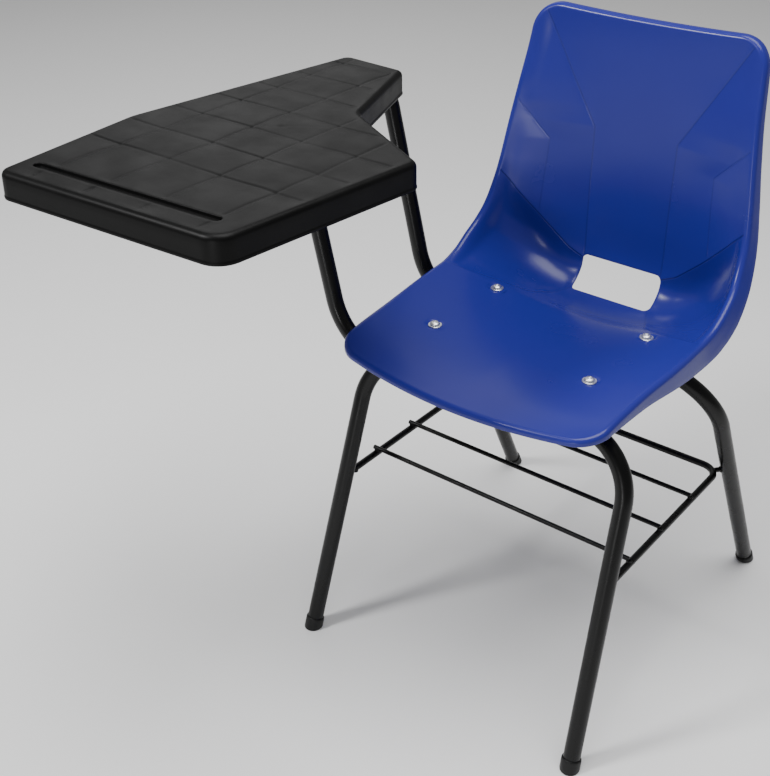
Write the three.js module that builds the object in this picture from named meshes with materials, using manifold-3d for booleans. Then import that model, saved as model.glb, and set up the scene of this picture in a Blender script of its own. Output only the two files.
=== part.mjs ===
// Student desk chair: a one-piece polypropylene shell on a welded tube frame, with a book rack
// under the seat and a moulded writing tablet carried on two bent tubes at the sitter's right.
// Millimetres, +Z up, -Y to the front, +X to the sitter's left.

import * as THREE from 'three';
import { mergeVertices } from 'three/addons/utils/BufferGeometryUtils.js';
import Module from 'manifold-3d';

const wasm = await Module();
wasm.setup();

// ---------------------------------------------------------------- driving dimensions

const GAP = 0.3;                     // clearance between touching pieces

const TUBE_DIAMETER = 22.2;
const TUBE_WALL = 1.5;
const CROSS_TUBE_HEIGHT = 419;       // axis of every tube that crosses under the seat

const SHELL_WIDTH = 376;             // widest, at the hips, between the rim folds

// footOut is how far a foot stands outside the shell's side.
const FRONT_LEGS = { footOut: 25, footY: -264.3, inward: 0.047, lean: 0.28, bend: 80 };
const REAR_LEGS = { footOut: 24, footY: 264.3, inward: 0.02, lean: -0.54, bend: 100 };
const LEG_START = 9;                 // along the leg, from the floor to the cut end of the tube

const FOOT_CAP_WALL = 1.4;
const FOOT_CAP_HEIGHT = 17;
const FOOT_CAP_CHAMFER = 1.2;

const RAIL_INSET = 75;               // each seat rail inside the shell's side
const RAIL_FRONT = -190;
const RAIL_REAR = 46;

const SUPPORT_SIDE_GAP = 3.4;        // between each support and the leg tube behind it
const SUPPORT_INNER_REACH = 17;      // tube end beyond the left seat rail
const SUPPORT_CLEAR = 32.5;          // outside the shell, where level run and leaning post would meet
const SUPPORT_LEAN = 14.4;           // degrees outward from upright
const SUPPORT_LOWER_BEND = 87;
const SUPPORT_UPPER_BEND = 38;
const SUPPORT_WALL_CLEARANCE = 8;    // tube end to the inside of the tablet's left wall
const SUPPORT_RIM_SETBACK = 0.9;     // tube underside above the tablet's rim

const PLUG_FLANGE = 2;
const PLUG_DEPTH = 10;

const RACK_HEIGHT = 238;
const RACK_ROD = 9.5;
const RACK_SIDE_INSET = 3.314;       // side rods inside the front leg axes
const RACK_REAR_SETBACK = 12.8;      // rear bar in front of the rear leg axes
const RACK_BEND = 24;
const RACK_LUG = 7;                  // short rod from each rear corner to its leg
const RACK_WIRE = 6.35;
const RACK_WIRE_OVERHANG = 4.5;      // past the right side rod; the left ends stop on theirs
const RACK_WIRE_Y = [-134, -52, 34];

const SHELL_WALL = 3.6;
const SHELL_FOLD = 6;                // outside radius where the rim turns down
const RIM_TUCK = 2;                  // how strongly the rim turns back the way the middle faces
const SHELL_FRONT_CORNER = 26;
const SHELL_TOP_CORNER = 32;
const BACK_TOP = 356.4;              // top edge above the underside of the seat
const HAND_HOLE = { width: 120, height: 50, corner: 8, y: 148.5, z: -2.1, tilt: 54 };

const SEAT_BOLT_Y = [-121, 22.5];
const BOLT_DIAMETER = 6;
const BOLT_HEAD = { diameter: 13, height: 3.4 };
const WASHER = { diameter: 18, thickness: 1.2 };
const SPOT_FACE = 20;
const SEAT_BOSS = 17;
const RIVET_NUT = { flange: 13, lip: 1, barrel: 9, length: 13 };

const TABLET_TOP = 729;
const TABLET_HEIGHT = 32;
const TABLET_SKIN = 4;
const TABLET_WALL = 3;
const TABLET_EDGE_ROUND = 7;
const SHELL_SIDE = -SHELL_WIDTH / 2;  // the tablet and what is under it stand beside the shell
const TABLET_CORNERS = [
  { x: SHELL_SIDE - 217, y: -531, radius: 17 },
  { x: SHELL_SIDE + 100, y: -512, radius: 28 },
  { x: SHELL_SIDE + 127, y: -229, radius: 16 },
  { x: SHELL_SIDE - 27, y: -143, radius: 24 },
  { x: SHELL_SIDE - 91, y: 28, radius: 12 },
  { x: SHELL_SIDE - 194, y: 35, radius: 15 },
  { x: SHELL_SIDE - 240, y: -318, radius: 70 },
];
const PEN_GROOVE = {
  from: [SHELL_SIDE - 192, -491], to: [SHELL_SIDE + 62, -476], width: 10, depth: 6, floor: 3,
};
const RIB_WALL = 2.4;
const RIB_HEIGHT = 16;
const LONG_RIBS = { first: SHELL_SIDE - 175, pitch: 79, count: 4 };
const CROSS_RIBS = { first: -391, pitch: 65.6, count: 7 };
const SUPPORT_BOSS = 13;
const TABLET_SCREW = { shank: 4.2, head: 9, headHeight: 3, skinLeft: 1.9, inset: 14 };

// ---------------------------------------------------------------- finishes

function finish(color, roughness, metalness) {
  return new THREE.MeshStandardMaterial({ color, roughness, metalness });
}

const BLACK_PAINT = finish(0x161616, 0.45, 0.2);
const BLUE_POLYPROPYLENE = finish(0x25398f, 0.35, 0);
const BLACK_POLYPROPYLENE = finish(0x1f1f20, 0.6, 0);
const BLACK_RUBBER = finish(0x101010, 0.75, 0);
const ZINC = finish(0xc4c6c8, 0.35, 1);

// ---------------------------------------------------------------- worked-out places

function crossTubeY(legs) {
  return legs.footY + legs.lean * CROSS_TUBE_HEIGHT;
}

const TUBE_RADIUS = TUBE_DIAMETER / 2;
const BORE_RADIUS = TUBE_RADIUS - TUBE_WALL;
const RAIL_HEIGHT = CROSS_TUBE_HEIGHT + TUBE_DIAMETER + GAP;
const RAIL_TOP = RAIL_HEIGHT + TUBE_RADIUS;
const TABLET_BOTTOM = TABLET_TOP - TABLET_HEIGHT;
const SKIN_UNDERSIDE = TABLET_TOP - TABLET_SKIN;
const RAIL_OFFSET = SHELL_WIDTH / 2 - RAIL_INSET;
const SUPPORT_INNER_END = RAIL_OFFSET + SUPPORT_INNER_REACH;
const RACK_SIDE_X = legAxisAt(FRONT_LEGS, 1, RACK_HEIGHT).x - RACK_SIDE_INSET;
const SUPPORT_TOP_HEIGHT = TABLET_BOTTOM + TUBE_RADIUS + SUPPORT_RIM_SETBACK;
const SUPPORT_FRONT_Y = crossTubeY(FRONT_LEGS) - TUBE_DIAMETER - SUPPORT_SIDE_GAP;
const SUPPORT_REAR_Y = crossTubeY(REAR_LEGS) - TUBE_DIAMETER - SUPPORT_SIDE_GAP;
const SUPPORT_LOWER_CORNER = SHELL_SIDE - SUPPORT_CLEAR;
const SEAT_DATUM = RAIL_TOP + SHELL_WALL;
const TABLET_SCREW_TIP = TABLET_TOP - TABLET_SCREW.skinLeft;

// ---------------------------------------------------------------- solids

function toSolid(geometry) {
  const bare = geometry.clone();
  bare.deleteAttribute('normal');
  bare.deleteAttribute('uv');
  const merged = mergeVertices(bare, 1e-4);
  const vertProperties = new Float32Array(merged.attributes.position.array);
  const triVerts = new Uint32Array(merged.index.array);
  const mesh = new wasm.Mesh({ numProp: 3, vertProperties, triVerts });
  return new wasm.Manifold(mesh);
}

function toGeometry(solid) {
  const mesh = solid.getMesh();
  const geometry = new THREE.BufferGeometry();
  geometry.setAttribute('position', new THREE.BufferAttribute(new Float32Array(mesh.vertProperties), 3));
  geometry.setIndex(new THREE.BufferAttribute(new Uint32Array(mesh.triVerts), 1));
  geometry.computeVertexNormals();
  return geometry;
}

function box(xRange, yRange, zRange) {
  const size = [xRange, yRange, zRange].map(([low, high]) => high - low);
  const middle = [xRange, yRange, zRange].map(([low, high]) => (high + low) / 2);
  return new THREE.BoxGeometry(...size).translate(...middle);
}

function uprightCylinder(radius, bottom, top, x, y, sides = 12) {
  const geometry = new THREE.CylinderGeometry(radius, radius, top - bottom, sides);
  return geometry.rotateX(Math.PI / 2).translate(x, y, (top + bottom) / 2);
}

// A profile of [radius, height] points turned about +Z.
function turned(profile, sides = 12) {
  const points = profile.map(([radius, height]) => new THREE.Vector2(radius, height));
  return new THREE.LatheGeometry(points, sides).rotateX(Math.PI / 2);
}

function ring(outer, bore, bottom, top, sides = 12) {
  return turned([[bore, bottom], [outer, bottom], [outer, top], [bore, top], [bore, bottom]], sides);
}

function named(name, geometry, material) {
  const mesh = new THREE.Mesh(geometry, material);
  mesh.name = name;
  return mesh;
}

// ---------------------------------------------------------------- bent tubes

// Stations along a route of straight runs joined by round bends: a section stands only where a
// bend starts, turns or ends.
function bentRoute(corners, bends, turnsPerBend = 5) {
  const stations = [];
  const first = corners[1].clone().sub(corners[0]).normalize();
  stations.push({ point: corners[0], tangent: first });
  for (let i = 1; i < corners.length - 1; i += 1) {
    const arriving = corners[i].clone().sub(corners[i - 1]).normalize();
    const leaving = corners[i + 1].clone().sub(corners[i]).normalize();
    const angle = arriving.angleTo(leaving);
    const radius = bends[i - 1];
    const start = corners[i].clone().addScaledVector(arriving, -radius * Math.tan(angle / 2));
    const inward = leaving.clone().addScaledVector(arriving, -arriving.dot(leaving)).normalize();
    const centre = start.clone().addScaledVector(inward, radius);
    for (let k = 0; k <= turnsPerBend; k += 1) {
      const turn = (angle * k) / turnsPerBend;
      const point = centre.clone().addScaledVector(inward, -radius * Math.cos(turn));
      point.addScaledVector(arriving, radius * Math.sin(turn));
      const tangent = arriving.clone().multiplyScalar(Math.cos(turn));
      tangent.addScaledVector(inward, Math.sin(turn));
      stations.push({ point, tangent });
    }
  }
  const last = corners[corners.length - 1];
  const final = last.clone().sub(corners[corners.length - 2]).normalize();
  stations.push({ point: last, tangent: final });
  return stations;
}

class StationPath extends THREE.Curve {
  constructor(stations) {
    super();
    this.stations = stations;
  }

  station(u) {
    return this.stations[Math.round(u * (this.stations.length - 1))];
  }

  getPointAt(u, target = new THREE.Vector3()) {
    return target.copy(this.station(u).point);
  }

  getTangentAt(u, target = new THREE.Vector3()) {
    return target.copy(this.station(u).tangent);
  }
}

function sweep(stations, radius, boreRadius, halfSides) {
  const section = new THREE.Shape().absarc(0, 0, radius, 0, Math.PI * 2, false);
  if (boreRadius > 0) {
    section.holes.push(new THREE.Path().absarc(0, 0, boreRadius, 0, Math.PI * 2, true));
  }
  return new THREE.ExtrudeGeometry(section, {
    steps: stations.length - 1,
    curveSegments: halfSides,
    extrudePath: new StationPath(stations),
  });
}

function tube(corners, bends) {
  return sweep(bentRoute(corners, bends), TUBE_RADIUS, BORE_RADIUS, 6);
}

// An end plug stands on +Z with its flange outside the tube and its stem inside.
function endPlug() {
  const stem = BORE_RADIUS - GAP;
  const profile = [[0, -PLUG_DEPTH], [stem - 1, -PLUG_DEPTH], [stem, -PLUG_DEPTH + 2], [stem, GAP],
    [TUBE_RADIUS, GAP], [TUBE_RADIUS, GAP + 1], [TUBE_RADIUS - 1, GAP + PLUG_FLANGE],
    [0, GAP + PLUG_FLANGE]];
  return turned(profile);
}

function placedPlug(name, place, outward) {
  const plug = named(name, endPlug(), BLACK_RUBBER);
  plug.position.copy(place);
  plug.quaternion.setFromUnitVectors(new THREE.Vector3(0, 0, 1), outward);
  return plug;
}

// ---------------------------------------------------------------- leg frames and feet

function legDirection(legs, side) {
  return new THREE.Vector3(-side * legs.inward, legs.lean, 1).normalize();
}

function legAxisAt(legs, side, height) {
  const x = side * (SHELL_WIDTH / 2 + legs.footOut - legs.inward * height);
  return new THREE.Vector3(x, legs.footY + legs.lean * height, height);
}

function legFrame(name, legs) {
  const start = (side) => legAxisAt(legs, side, 0).addScaledVector(legDirection(legs, side), LEG_START);
  const corner = (side) => legAxisAt(legs, side, CROSS_TUBE_HEIGHT);
  const corners = [start(1), corner(1), corner(-1), start(-1)];
  return named(name, tube(corners, [legs.bend, legs.bend]), BLACK_PAINT);
}

// A cup on the end of the leg, cut level with the floor.
function footCap(name, legs, side) {
  const inner = TUBE_RADIUS + GAP;
  const outer = inner + FOOT_CAP_WALL;
  const below = -outer;
  const profile = [[0, below], [outer, below], [outer, FOOT_CAP_HEIGHT - FOOT_CAP_CHAMFER],
    [outer - FOOT_CAP_CHAMFER, FOOT_CAP_HEIGHT], [inner, FOOT_CAP_HEIGHT], [inner, LEG_START - GAP],
    [0, LEG_START - GAP]];
  const turnToLeg = new THREE.Quaternion();
  turnToLeg.setFromUnitVectors(new THREE.Vector3(0, 0, 1), legDirection(legs, side));
  const cup = toSolid(turned(profile, 16).applyQuaternion(turnToLeg));
  const reach = outer * 3;
  const aboveFloor = toSolid(box([-reach, reach], [-reach, reach], [0, reach]));
  const cap = named(name, toGeometry(cup.intersect(aboveFloor)), BLACK_RUBBER);
  cap.position.copy(legAxisAt(legs, side, 0));
  return cap;
}

// ---------------------------------------------------------------- seat rails and tablet supports

function seatRail(name, side) {
  const x = side * RAIL_OFFSET;
  const ends = [new THREE.Vector3(x, RAIL_FRONT, RAIL_HEIGHT), new THREE.Vector3(x, RAIL_REAR, RAIL_HEIGHT)];
  let solid = toSolid(tube(ends, []));
  for (const y of SEAT_BOLT_Y) {
    const hole = uprightCylinder(RIVET_NUT.barrel / 2 + GAP, RAIL_HEIGHT, RAIL_TOP + 5, x, y);
    solid = solid.subtract(toSolid(hole));
  }
  return named(name, toGeometry(solid), BLACK_PAINT);
}

function tabletWallX(y, inset) {
  const top = TABLET_CORNERS[5];
  const kink = TABLET_CORNERS[6];
  const share = (y - kink.y) / (top.y - kink.y);
  return THREE.MathUtils.lerp(kink.x, top.x, share) + inset;
}

function supportEndX(y) {
  return tabletWallX(y, TABLET_WALL + SUPPORT_WALL_CLEARANCE);
}

function supportUpperCornerX() {
  const rise = SUPPORT_TOP_HEIGHT - CROSS_TUBE_HEIGHT;
  return SUPPORT_LOWER_CORNER - rise * Math.tan(THREE.MathUtils.degToRad(SUPPORT_LEAN));
}

function supportRunStartX() {
  const turn = THREE.MathUtils.degToRad(90 - SUPPORT_LEAN);
  return supportUpperCornerX() - SUPPORT_UPPER_BEND * Math.tan(turn / 2);
}

function supportScrewXs(y) {
  return [supportRunStartX() - TABLET_SCREW.inset, supportEndX(y) + TABLET_SCREW.inset];
}

function tabletSupport(name, y) {
  const corners = [
    new THREE.Vector3(SUPPORT_INNER_END, y, CROSS_TUBE_HEIGHT),
    new THREE.Vector3(SUPPORT_LOWER_CORNER, y, CROSS_TUBE_HEIGHT),
    new THREE.Vector3(supportUpperCornerX(), y, SUPPORT_TOP_HEIGHT),
    new THREE.Vector3(supportEndX(y), y, SUPPORT_TOP_HEIGHT),
  ];
  let solid = toSolid(tube(corners, [SUPPORT_LOWER_BEND, SUPPORT_UPPER_BEND]));
  for (const x of supportScrewXs(y)) {
    const low = SUPPORT_TOP_HEIGHT - TUBE_DIAMETER;
    const high = SUPPORT_TOP_HEIGHT + TUBE_DIAMETER;
    solid = solid.subtract(toSolid(uprightCylinder(TABLET_SCREW.shank / 2 + GAP, low, high, x, y)));
  }
  return named(name, toGeometry(solid), BLACK_PAINT);
}

// ---------------------------------------------------------------- book rack

function rackFrame() {
  const front = legAxisAt(FRONT_LEGS, 1, RACK_HEIGHT);
  const rear = legAxisAt(REAR_LEGS, 1, RACK_HEIGHT);
  const legHalf = TUBE_RADIUS * Math.hypot(1, FRONT_LEGS.lean);
  const frontY = front.y + legHalf + (RACK_ROD / 2) * FRONT_LEGS.lean + GAP;
  const rearY = rear.y - RACK_REAR_SETBACK;
  const corners = [
    new THREE.Vector3(RACK_SIDE_X, frontY, RACK_HEIGHT),
    new THREE.Vector3(RACK_SIDE_X, rearY, RACK_HEIGHT),
    new THREE.Vector3(-RACK_SIDE_X, rearY, RACK_HEIGHT),
    new THREE.Vector3(-RACK_SIDE_X, frontY, RACK_HEIGHT),
  ];
  const stations = bentRoute(corners, [RACK_BEND, RACK_BEND], 4);
  let solid = toSolid(sweep(stations, RACK_ROD / 2, 0, 5));
  const cornerInset = RACK_BEND * (1 - Math.SQRT1_2);
  for (const side of [-1, 1]) {
    const from = new THREE.Vector3(side * (RACK_SIDE_X - cornerInset), rearY - cornerInset, RACK_HEIGHT);
    const leg = legAxisAt(REAR_LEGS, side, RACK_HEIGHT);
    const heading = leg.clone().sub(from).normalize();
    const slope = Math.abs(REAR_LEGS.lean * heading.y);
    const clear = TUBE_RADIUS * Math.hypot(1, slope) + (RACK_LUG / 2) * slope + GAP;
    const to = leg.clone().addScaledVector(heading, -clear);
    solid = solid.add(toSolid(sweep(bentRoute([from, to], []), RACK_LUG / 2, 0, 4)));
  }
  return named('book_rack_frame', toGeometry(solid), BLACK_PAINT);
}

function rackWire(name, y) {
  const length = RACK_SIDE_X * 2 + RACK_WIRE_OVERHANG;
  const geometry = new THREE.CylinderGeometry(RACK_WIRE / 2, RACK_WIRE / 2, length, 8);
  const wire = named(name, geometry.rotateZ(Math.PI / 2), BLACK_PAINT);
  const height = RACK_HEIGHT + (RACK_ROD + RACK_WIRE) / 2 + GAP;
  wire.position.set(-RACK_WIRE_OVERHANG / 2, y, height);
  return wire;
}

// ---------------------------------------------------------------- seat shell

// Cross-stations from the front lip, over the seat and round the bend, to the top of the back.
// middle: [y, z] on the centre line. edge: [inset from the half width, y, z] at the rim fold.
// Heights stand above the lowest seat underside. rim is how deep the rim turns down, and wing how late the
// section rises towards its edge: 1 is a straight slope, 5 a flat middle with steep wings.
const SHELL_STATIONS = [
  { middle: [-247, -3.1], edge: [8, -229, 6.4], rim: 8, wing: 2 },
  { middle: [-200, -1.1], edge: [7, -195, 13.4], rim: 11, wing: 1.8 },
  { middle: [-121, -1.1], edge: [5, -121, 19.9], rim: 18, wing: 1.6 },
  { middle: [-55, -3.6], edge: [1, -58, 23.4], rim: 26, wing: 1.6 },
  { middle: [0, -9.1], edge: [0, -18, 25.9], rim: 30, wing: 1.6 },
  { middle: [50, -15.6], edge: [0, 12, 28.4], rim: 32, wing: 1.6 },
  { middle: [98, -27.6], edge: [0, 42, 36.4], rim: 32, wing: 2 },
  { middle: [133, -20.6], edge: [1, 66, 49.4], rim: 31, wing: 3.2 },
  { middle: [154, 0.4], edge: [3, 87, 63.4], rim: 27, wing: 4.4 },
  { middle: [161.5, 26.4], edge: [6, 104, 84.4], rim: 25, wing: 4.6 },
  { middle: [161, 84.4], edge: [8, 117, 114.4], rim: 22, wing: 3.6 },
  { middle: [160, 144.4], edge: [11, 123.5, 146.4], rim: 20, wing: 2.6 },
  { middle: [160, 203.4], edge: [18, 130, 201.4], rim: 17, wing: 2.2 },
  { middle: [160.5, 256.4], edge: [25, 138, 254.4], rim: 15, wing: 2.2 },
  { middle: [161, 302.4], edge: [30, 148, 303.4], rim: 13, wing: 2.2 },
  { middle: [161.5, BACK_TOP - 7], edge: [34, 156, BACK_TOP - 2], rim: 11, wing: 2 },
];

const SHELL_ROWS = 27;
const SHELL_COLUMNS = 16;
const FRONT_CORNER_ROWS = [0, 0.004, 0.014, 0.03];
const PLAIN_ROWS = { first: 0.055, last: 0.94 };
const TOP_CORNER_ROWS = [0.966, 0.984, 0.995, 1];

function shellCurve(pick) {
  return new THREE.CatmullRomCurve3(SHELL_STATIONS.map(pick));
}

const SHELL_MIDDLE = shellCurve(({ middle }) => new THREE.Vector3(0, middle[0], SEAT_DATUM + middle[1]));
const SHELL_EDGE = shellCurve(({ edge }) => (
  new THREE.Vector3(SHELL_WIDTH / 2 - edge[0], edge[1], SEAT_DATUM + edge[2])));

function stationValue(along, key) {
  const place = THREE.MathUtils.clamp(along, 0, 1) * (SHELL_STATIONS.length - 1);
  const low = Math.min(Math.floor(place), SHELL_STATIONS.length - 2);
  return THREE.MathUtils.lerp(SHELL_STATIONS[low][key], SHELL_STATIONS[low + 1][key], place - low);
}

// How much narrower a row is inside a round corner, by its distance from the shell's end.
function cornerTrim(radius, distance) {
  if (distance >= radius) {
    return 0;
  }
  return radius - Math.sqrt(radius * radius - (radius - distance) ** 2);
}

function shellHalfWidth(along, edge) {
  const fromFront = edge.distanceTo(SHELL_EDGE.getPoint(0));
  const fromTop = edge.distanceTo(SHELL_EDGE.getPoint(1));
  const frontTrim = along < 0.5 ? cornerTrim(SHELL_FRONT_CORNER, fromFront) : 0;
  const topTrim = along > 0.5 ? cornerTrim(SHELL_TOP_CORNER, fromTop) : 0;
  return edge.x - frontTrim - topTrim;
}

// The face that the sitter touches: across runs from -1 to 1, along from 0 to 1.
function shellPoint(across, along) {
  const middle = SHELL_MIDDLE.getPoint(along);
  const edge = SHELL_EDGE.getPoint(along);
  const x = across * shellHalfWidth(along, edge);
  const rise = Math.abs(x / edge.x) ** stationValue(along, 'wing');
  const y = THREE.MathUtils.lerp(middle.y, edge.y, rise);
  return new THREE.Vector3(x, y, THREE.MathUtils.lerp(middle.z, edge.z, rise));
}

function shellNormal(across, along) {
  const step = 0.002;
  const sideways = shellPoint(across + step, along).sub(shellPoint(across - step, along));
  const low = Math.max(along - step, 0);
  const high = Math.min(along + step, 1);
  const lengthways = shellPoint(across, high).sub(shellPoint(across, low));
  return sideways.cross(lengthways).normalize();
}

// Rows stand close together round the corners, where the outline turns.
function shellRowPlaces() {
  const between = SHELL_ROWS - FRONT_CORNER_ROWS.length - TOP_CORNER_ROWS.length;
  const places = [...FRONT_CORNER_ROWS];
  for (let row = 0; row <= between; row += 1) {
    places.push(THREE.MathUtils.lerp(PLAIN_ROWS.first, PLAIN_ROWS.last, row / between));
  }
  return [...places, ...TOP_CORNER_ROWS];
}

// The face as rows of points, then rings round its outline that fold over and turn down.
function shellSheet() {
  const rows = shellRowPlaces();
  const points = [];
  const normals = [];
  for (const along of rows) {
    for (let column = 0; column <= SHELL_COLUMNS; column += 1) {
      const across = (column / SHELL_COLUMNS) * 2 - 1;
      points.push(shellPoint(across, along));
      normals.push(shellNormal(across, along));
    }
  }
  const at = (row, column) => row * (SHELL_COLUMNS + 1) + column;
  const faces = [];
  for (let row = 0; row < rows.length - 1; row += 1) {
    for (let column = 0; column < SHELL_COLUMNS; column += 1) {
      faces.push([at(row, column), at(row, column + 1), at(row + 1, column + 1)]);
      faces.push([at(row, column), at(row + 1, column + 1), at(row + 1, column)]);
    }
  }
  const outline = [];
  const lastRow = rows.length - 1;
  for (let column = 0; column < SHELL_COLUMNS; column += 1) outline.push([0, column]);
  for (let row = 0; row < lastRow; row += 1) outline.push([row, SHELL_COLUMNS]);
  for (let column = SHELL_COLUMNS; column > 0; column -= 1) outline.push([lastRow, column]);
  for (let row = lastRow; row > 0; row -= 1) outline.push([row, 0]);
  const loop = outline.map(([row, column]) => at(row, column));
  const count = loop.length;
  const fold = outline.map(([row], i) => {
    const ahead = points[loop[(i + 1) % count]].clone().sub(points[loop[(i + count - 1) % count]]);
    const normal = normals[loop[i]];
    const outward = ahead.cross(normal).normalize();
    const facing = shellNormal(0, rows[row]).multiplyScalar(RIM_TUCK).add(normal).normalize();
    const turn = Math.atan2(facing.dot(normal), -facing.dot(outward));
    return { outward, normal, turn, depth: stationValue(rows[row], 'rim'), start: points[loop[i]] };
  });
  let inner = loop;
  const addRing = (place, face) => {
    const outer = fold.map((rim) => {
      points.push(place(rim));
      normals.push(face(rim));
      return points.length - 1;
    });
    for (let i = 0; i < count; i += 1) {
      const next = (i + 1) % count;
      faces.push([inner[i], outer[i], outer[next]]);
      faces.push([inner[i], outer[next], inner[next]]);
    }
    inner = outer;
  };
  const foldPlace = ({ outward, normal, start }, angle) => start.clone()
    .addScaledVector(outward, SHELL_FOLD * Math.sin(angle))
    .addScaledVector(normal, SHELL_FOLD * (Math.cos(angle) - 1));
  const foldFace = ({ outward, normal }, angle) => outward.clone()
    .multiplyScalar(Math.sin(angle)).addScaledVector(normal, Math.cos(angle));
  for (const share of [0.5, 1]) {
    addRing((rim) => foldPlace(rim, rim.turn * share), (rim) => foldFace(rim, rim.turn * share));
  }
  addRing((rim) => foldPlace(rim, rim.turn)
    .addScaledVector(foldFace(rim, rim.turn + Math.PI / 2), rim.depth - SHELL_FOLD),
  (rim) => foldFace(rim, rim.turn));
  return { points, normals, faces, rim: inner };
}

// The sheet and a copy of it set back by the wall, joined round the rim.
function shellBody() {
  const { points, normals, faces, rim } = shellSheet();
  const behind = points.map((point, i) => point.clone().addScaledVector(normals[i], -SHELL_WALL));
  const offset = points.length;
  const index = faces.flat();
  for (const [a, b, c] of faces) index.push(a + offset, c + offset, b + offset);
  rim.forEach((corner, i) => {
    const next = rim[(i + 1) % rim.length];
    index.push(corner, corner + offset, next + offset, corner, next + offset, next);
  });
  const geometry = new THREE.BufferGeometry();
  geometry.setFromPoints([...points, ...behind]);
  geometry.setIndex(index);
  return toSolid(geometry);
}

// Height of the seat's face over a place in plan, found by halving along the seat.
function seatHeight(x, y) {
  let low = 0;
  let high = 0.5;
  for (let i = 0; i < 30; i += 1) {
    const along = (low + high) / 2;
    const across = x / shellHalfWidth(along, SHELL_EDGE.getPoint(along));
    if (shellPoint(across, along).y < y) low = along;
    else high = along;
  }
  const across = x / shellHalfWidth(low, SHELL_EDGE.getPoint(low));
  return shellPoint(across, low).z;
}

function spotFaceHeight(x, y) {
  return seatHeight(x, y) - 0.8;
}

function handHoleCutter() {
  const { width, height, corner, y, z, tilt } = HAND_HOLE;
  const outline = new THREE.Shape();
  const x = width / 2 - corner;
  const up = height / 2 - corner;
  outline.absarc(x, -up, corner, -Math.PI / 2, 0, false);
  outline.absarc(x, up, corner, 0, Math.PI / 2, false);
  outline.absarc(-x, up, corner, Math.PI / 2, Math.PI, false);
  outline.absarc(-x, -up, corner, Math.PI, Math.PI * 1.5, false);
  const depth = 60;
  const cutter = new THREE.ExtrudeGeometry(outline, { depth, curveSegments: 2, bevelEnabled: false });
  cutter.translate(0, 0, -depth / 2).rotateX(THREE.MathUtils.degToRad(tilt));
  return cutter.translate(0, y, SEAT_DATUM + z);
}

function seatShell() {
  let solid = shellBody();
  const bossBottom = RAIL_TOP + RIVET_NUT.lip + GAP * 2;
  for (const side of [-1, 1]) {
    for (const boltY of SEAT_BOLT_Y) {
      const x = side * RAIL_OFFSET;
      const spot = spotFaceHeight(x, boltY);
      const boss = uprightCylinder(SEAT_BOSS / 2, bossBottom, spot - 0.2, x, boltY);
      const hole = uprightCylinder(BOLT_DIAMETER / 2 + GAP, bossBottom - 5, spot + 5, x, boltY);
      const spotFace = uprightCylinder(SPOT_FACE / 2, spot, spot + 8, x, boltY, 16);
      solid = solid.add(toSolid(boss)).subtract(toSolid(hole)).subtract(toSolid(spotFace));
    }
  }
  solid = solid.subtract(toSolid(handHoleCutter()));
  return named('seat_shell', toGeometry(solid), BLUE_POLYPROPYLENE);
}

// ---------------------------------------------------------------- seat fasteners

function seatBoltGeometry() {
  const radius = BOLT_HEAD.diameter / 2;
  const shank = BOLT_DIAMETER / 2;
  const length = RIVET_NUT.length + 8;
  const profile = [[0, -length], [shank - 0.8, -length], [shank, -length + 1], [shank, 0], [radius, 0],
    [radius, 0.8], [radius * 0.8, BOLT_HEAD.height * 0.8], [0, BOLT_HEAD.height]];
  return turned(profile);
}

function rivetNutGeometry() {
  const bore = BOLT_DIAMETER / 2 + GAP;
  const { flange, lip, barrel, length } = RIVET_NUT;
  return turned([[bore, -length], [barrel / 2, -length], [barrel / 2, 0], [flange / 2, 0],
    [flange / 2, lip], [bore, lip], [bore, -length]]);
}

function seatFasteners(label, x, y) {
  const spot = spotFaceHeight(x, y);
  const washer = ring(WASHER.diameter / 2, BOLT_DIAMETER / 2 + GAP, 0, WASHER.thickness, 16);
  const pieces = [
    [named(`seat_washer_${label}`, washer, ZINC), spot + GAP],
    [named(`seat_bolt_${label}`, seatBoltGeometry(), ZINC), spot + WASHER.thickness + GAP * 2],
    [named(`rivet_nut_${label}`, rivetNutGeometry(), ZINC), RAIL_TOP + GAP],
  ];
  return pieces.map(([mesh, height]) => {
    mesh.position.set(x, y, height);
    return mesh;
  });
}

// ---------------------------------------------------------------- writing tablet

// The outline moved inward by inset, with each corner's radius kept concentric.
function tabletOutline(inset) {
  const corners = TABLET_CORNERS;
  const count = corners.length;
  const direction = (i) => {
    const from = corners[(i + count) % count];
    const to = corners[(i + 1) % count];
    return new THREE.Vector2(to.x - from.x, to.y - from.y).normalize();
  };
  const shape = new THREE.Shape();
  corners.forEach(({ x, y, radius }, i) => {
    const arriving = direction(i - 1);
    const leaving = direction(i);
    const turn = Math.asin(arriving.cross(leaving));
    const side = Math.sign(turn);
    const spread = Math.tan(Math.abs(turn) / 2);
    const inwards = new THREE.Vector2(-leaving.y, leaving.x);
    const corner = new THREE.Vector2(x, y).addScaledVector(inwards, inset)
      .addScaledVector(leaving, side * inset * spread);
    const bend = radius - side * inset;
    const start = corner.clone().addScaledVector(arriving, -bend * spread);
    const centreAngle = arriving.angle() + (side * Math.PI) / 2;
    const centreX = start.x + bend * Math.cos(centreAngle);
    const centreY = start.y + bend * Math.sin(centreAngle);
    const startAngle = centreAngle + Math.PI;
    shape.absarc(centreX, centreY, bend, startAngle, startAngle + turn, side < 0);
  });
  return shape;
}

function prism(shape, bottom, top, options = {}) {
  const depth = top - bottom;
  const settings = { depth, curveSegments: 3, bevelEnabled: false, ...options };
  return toSolid(new THREE.ExtrudeGeometry(shape, settings).translate(0, 0, bottom));
}

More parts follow.
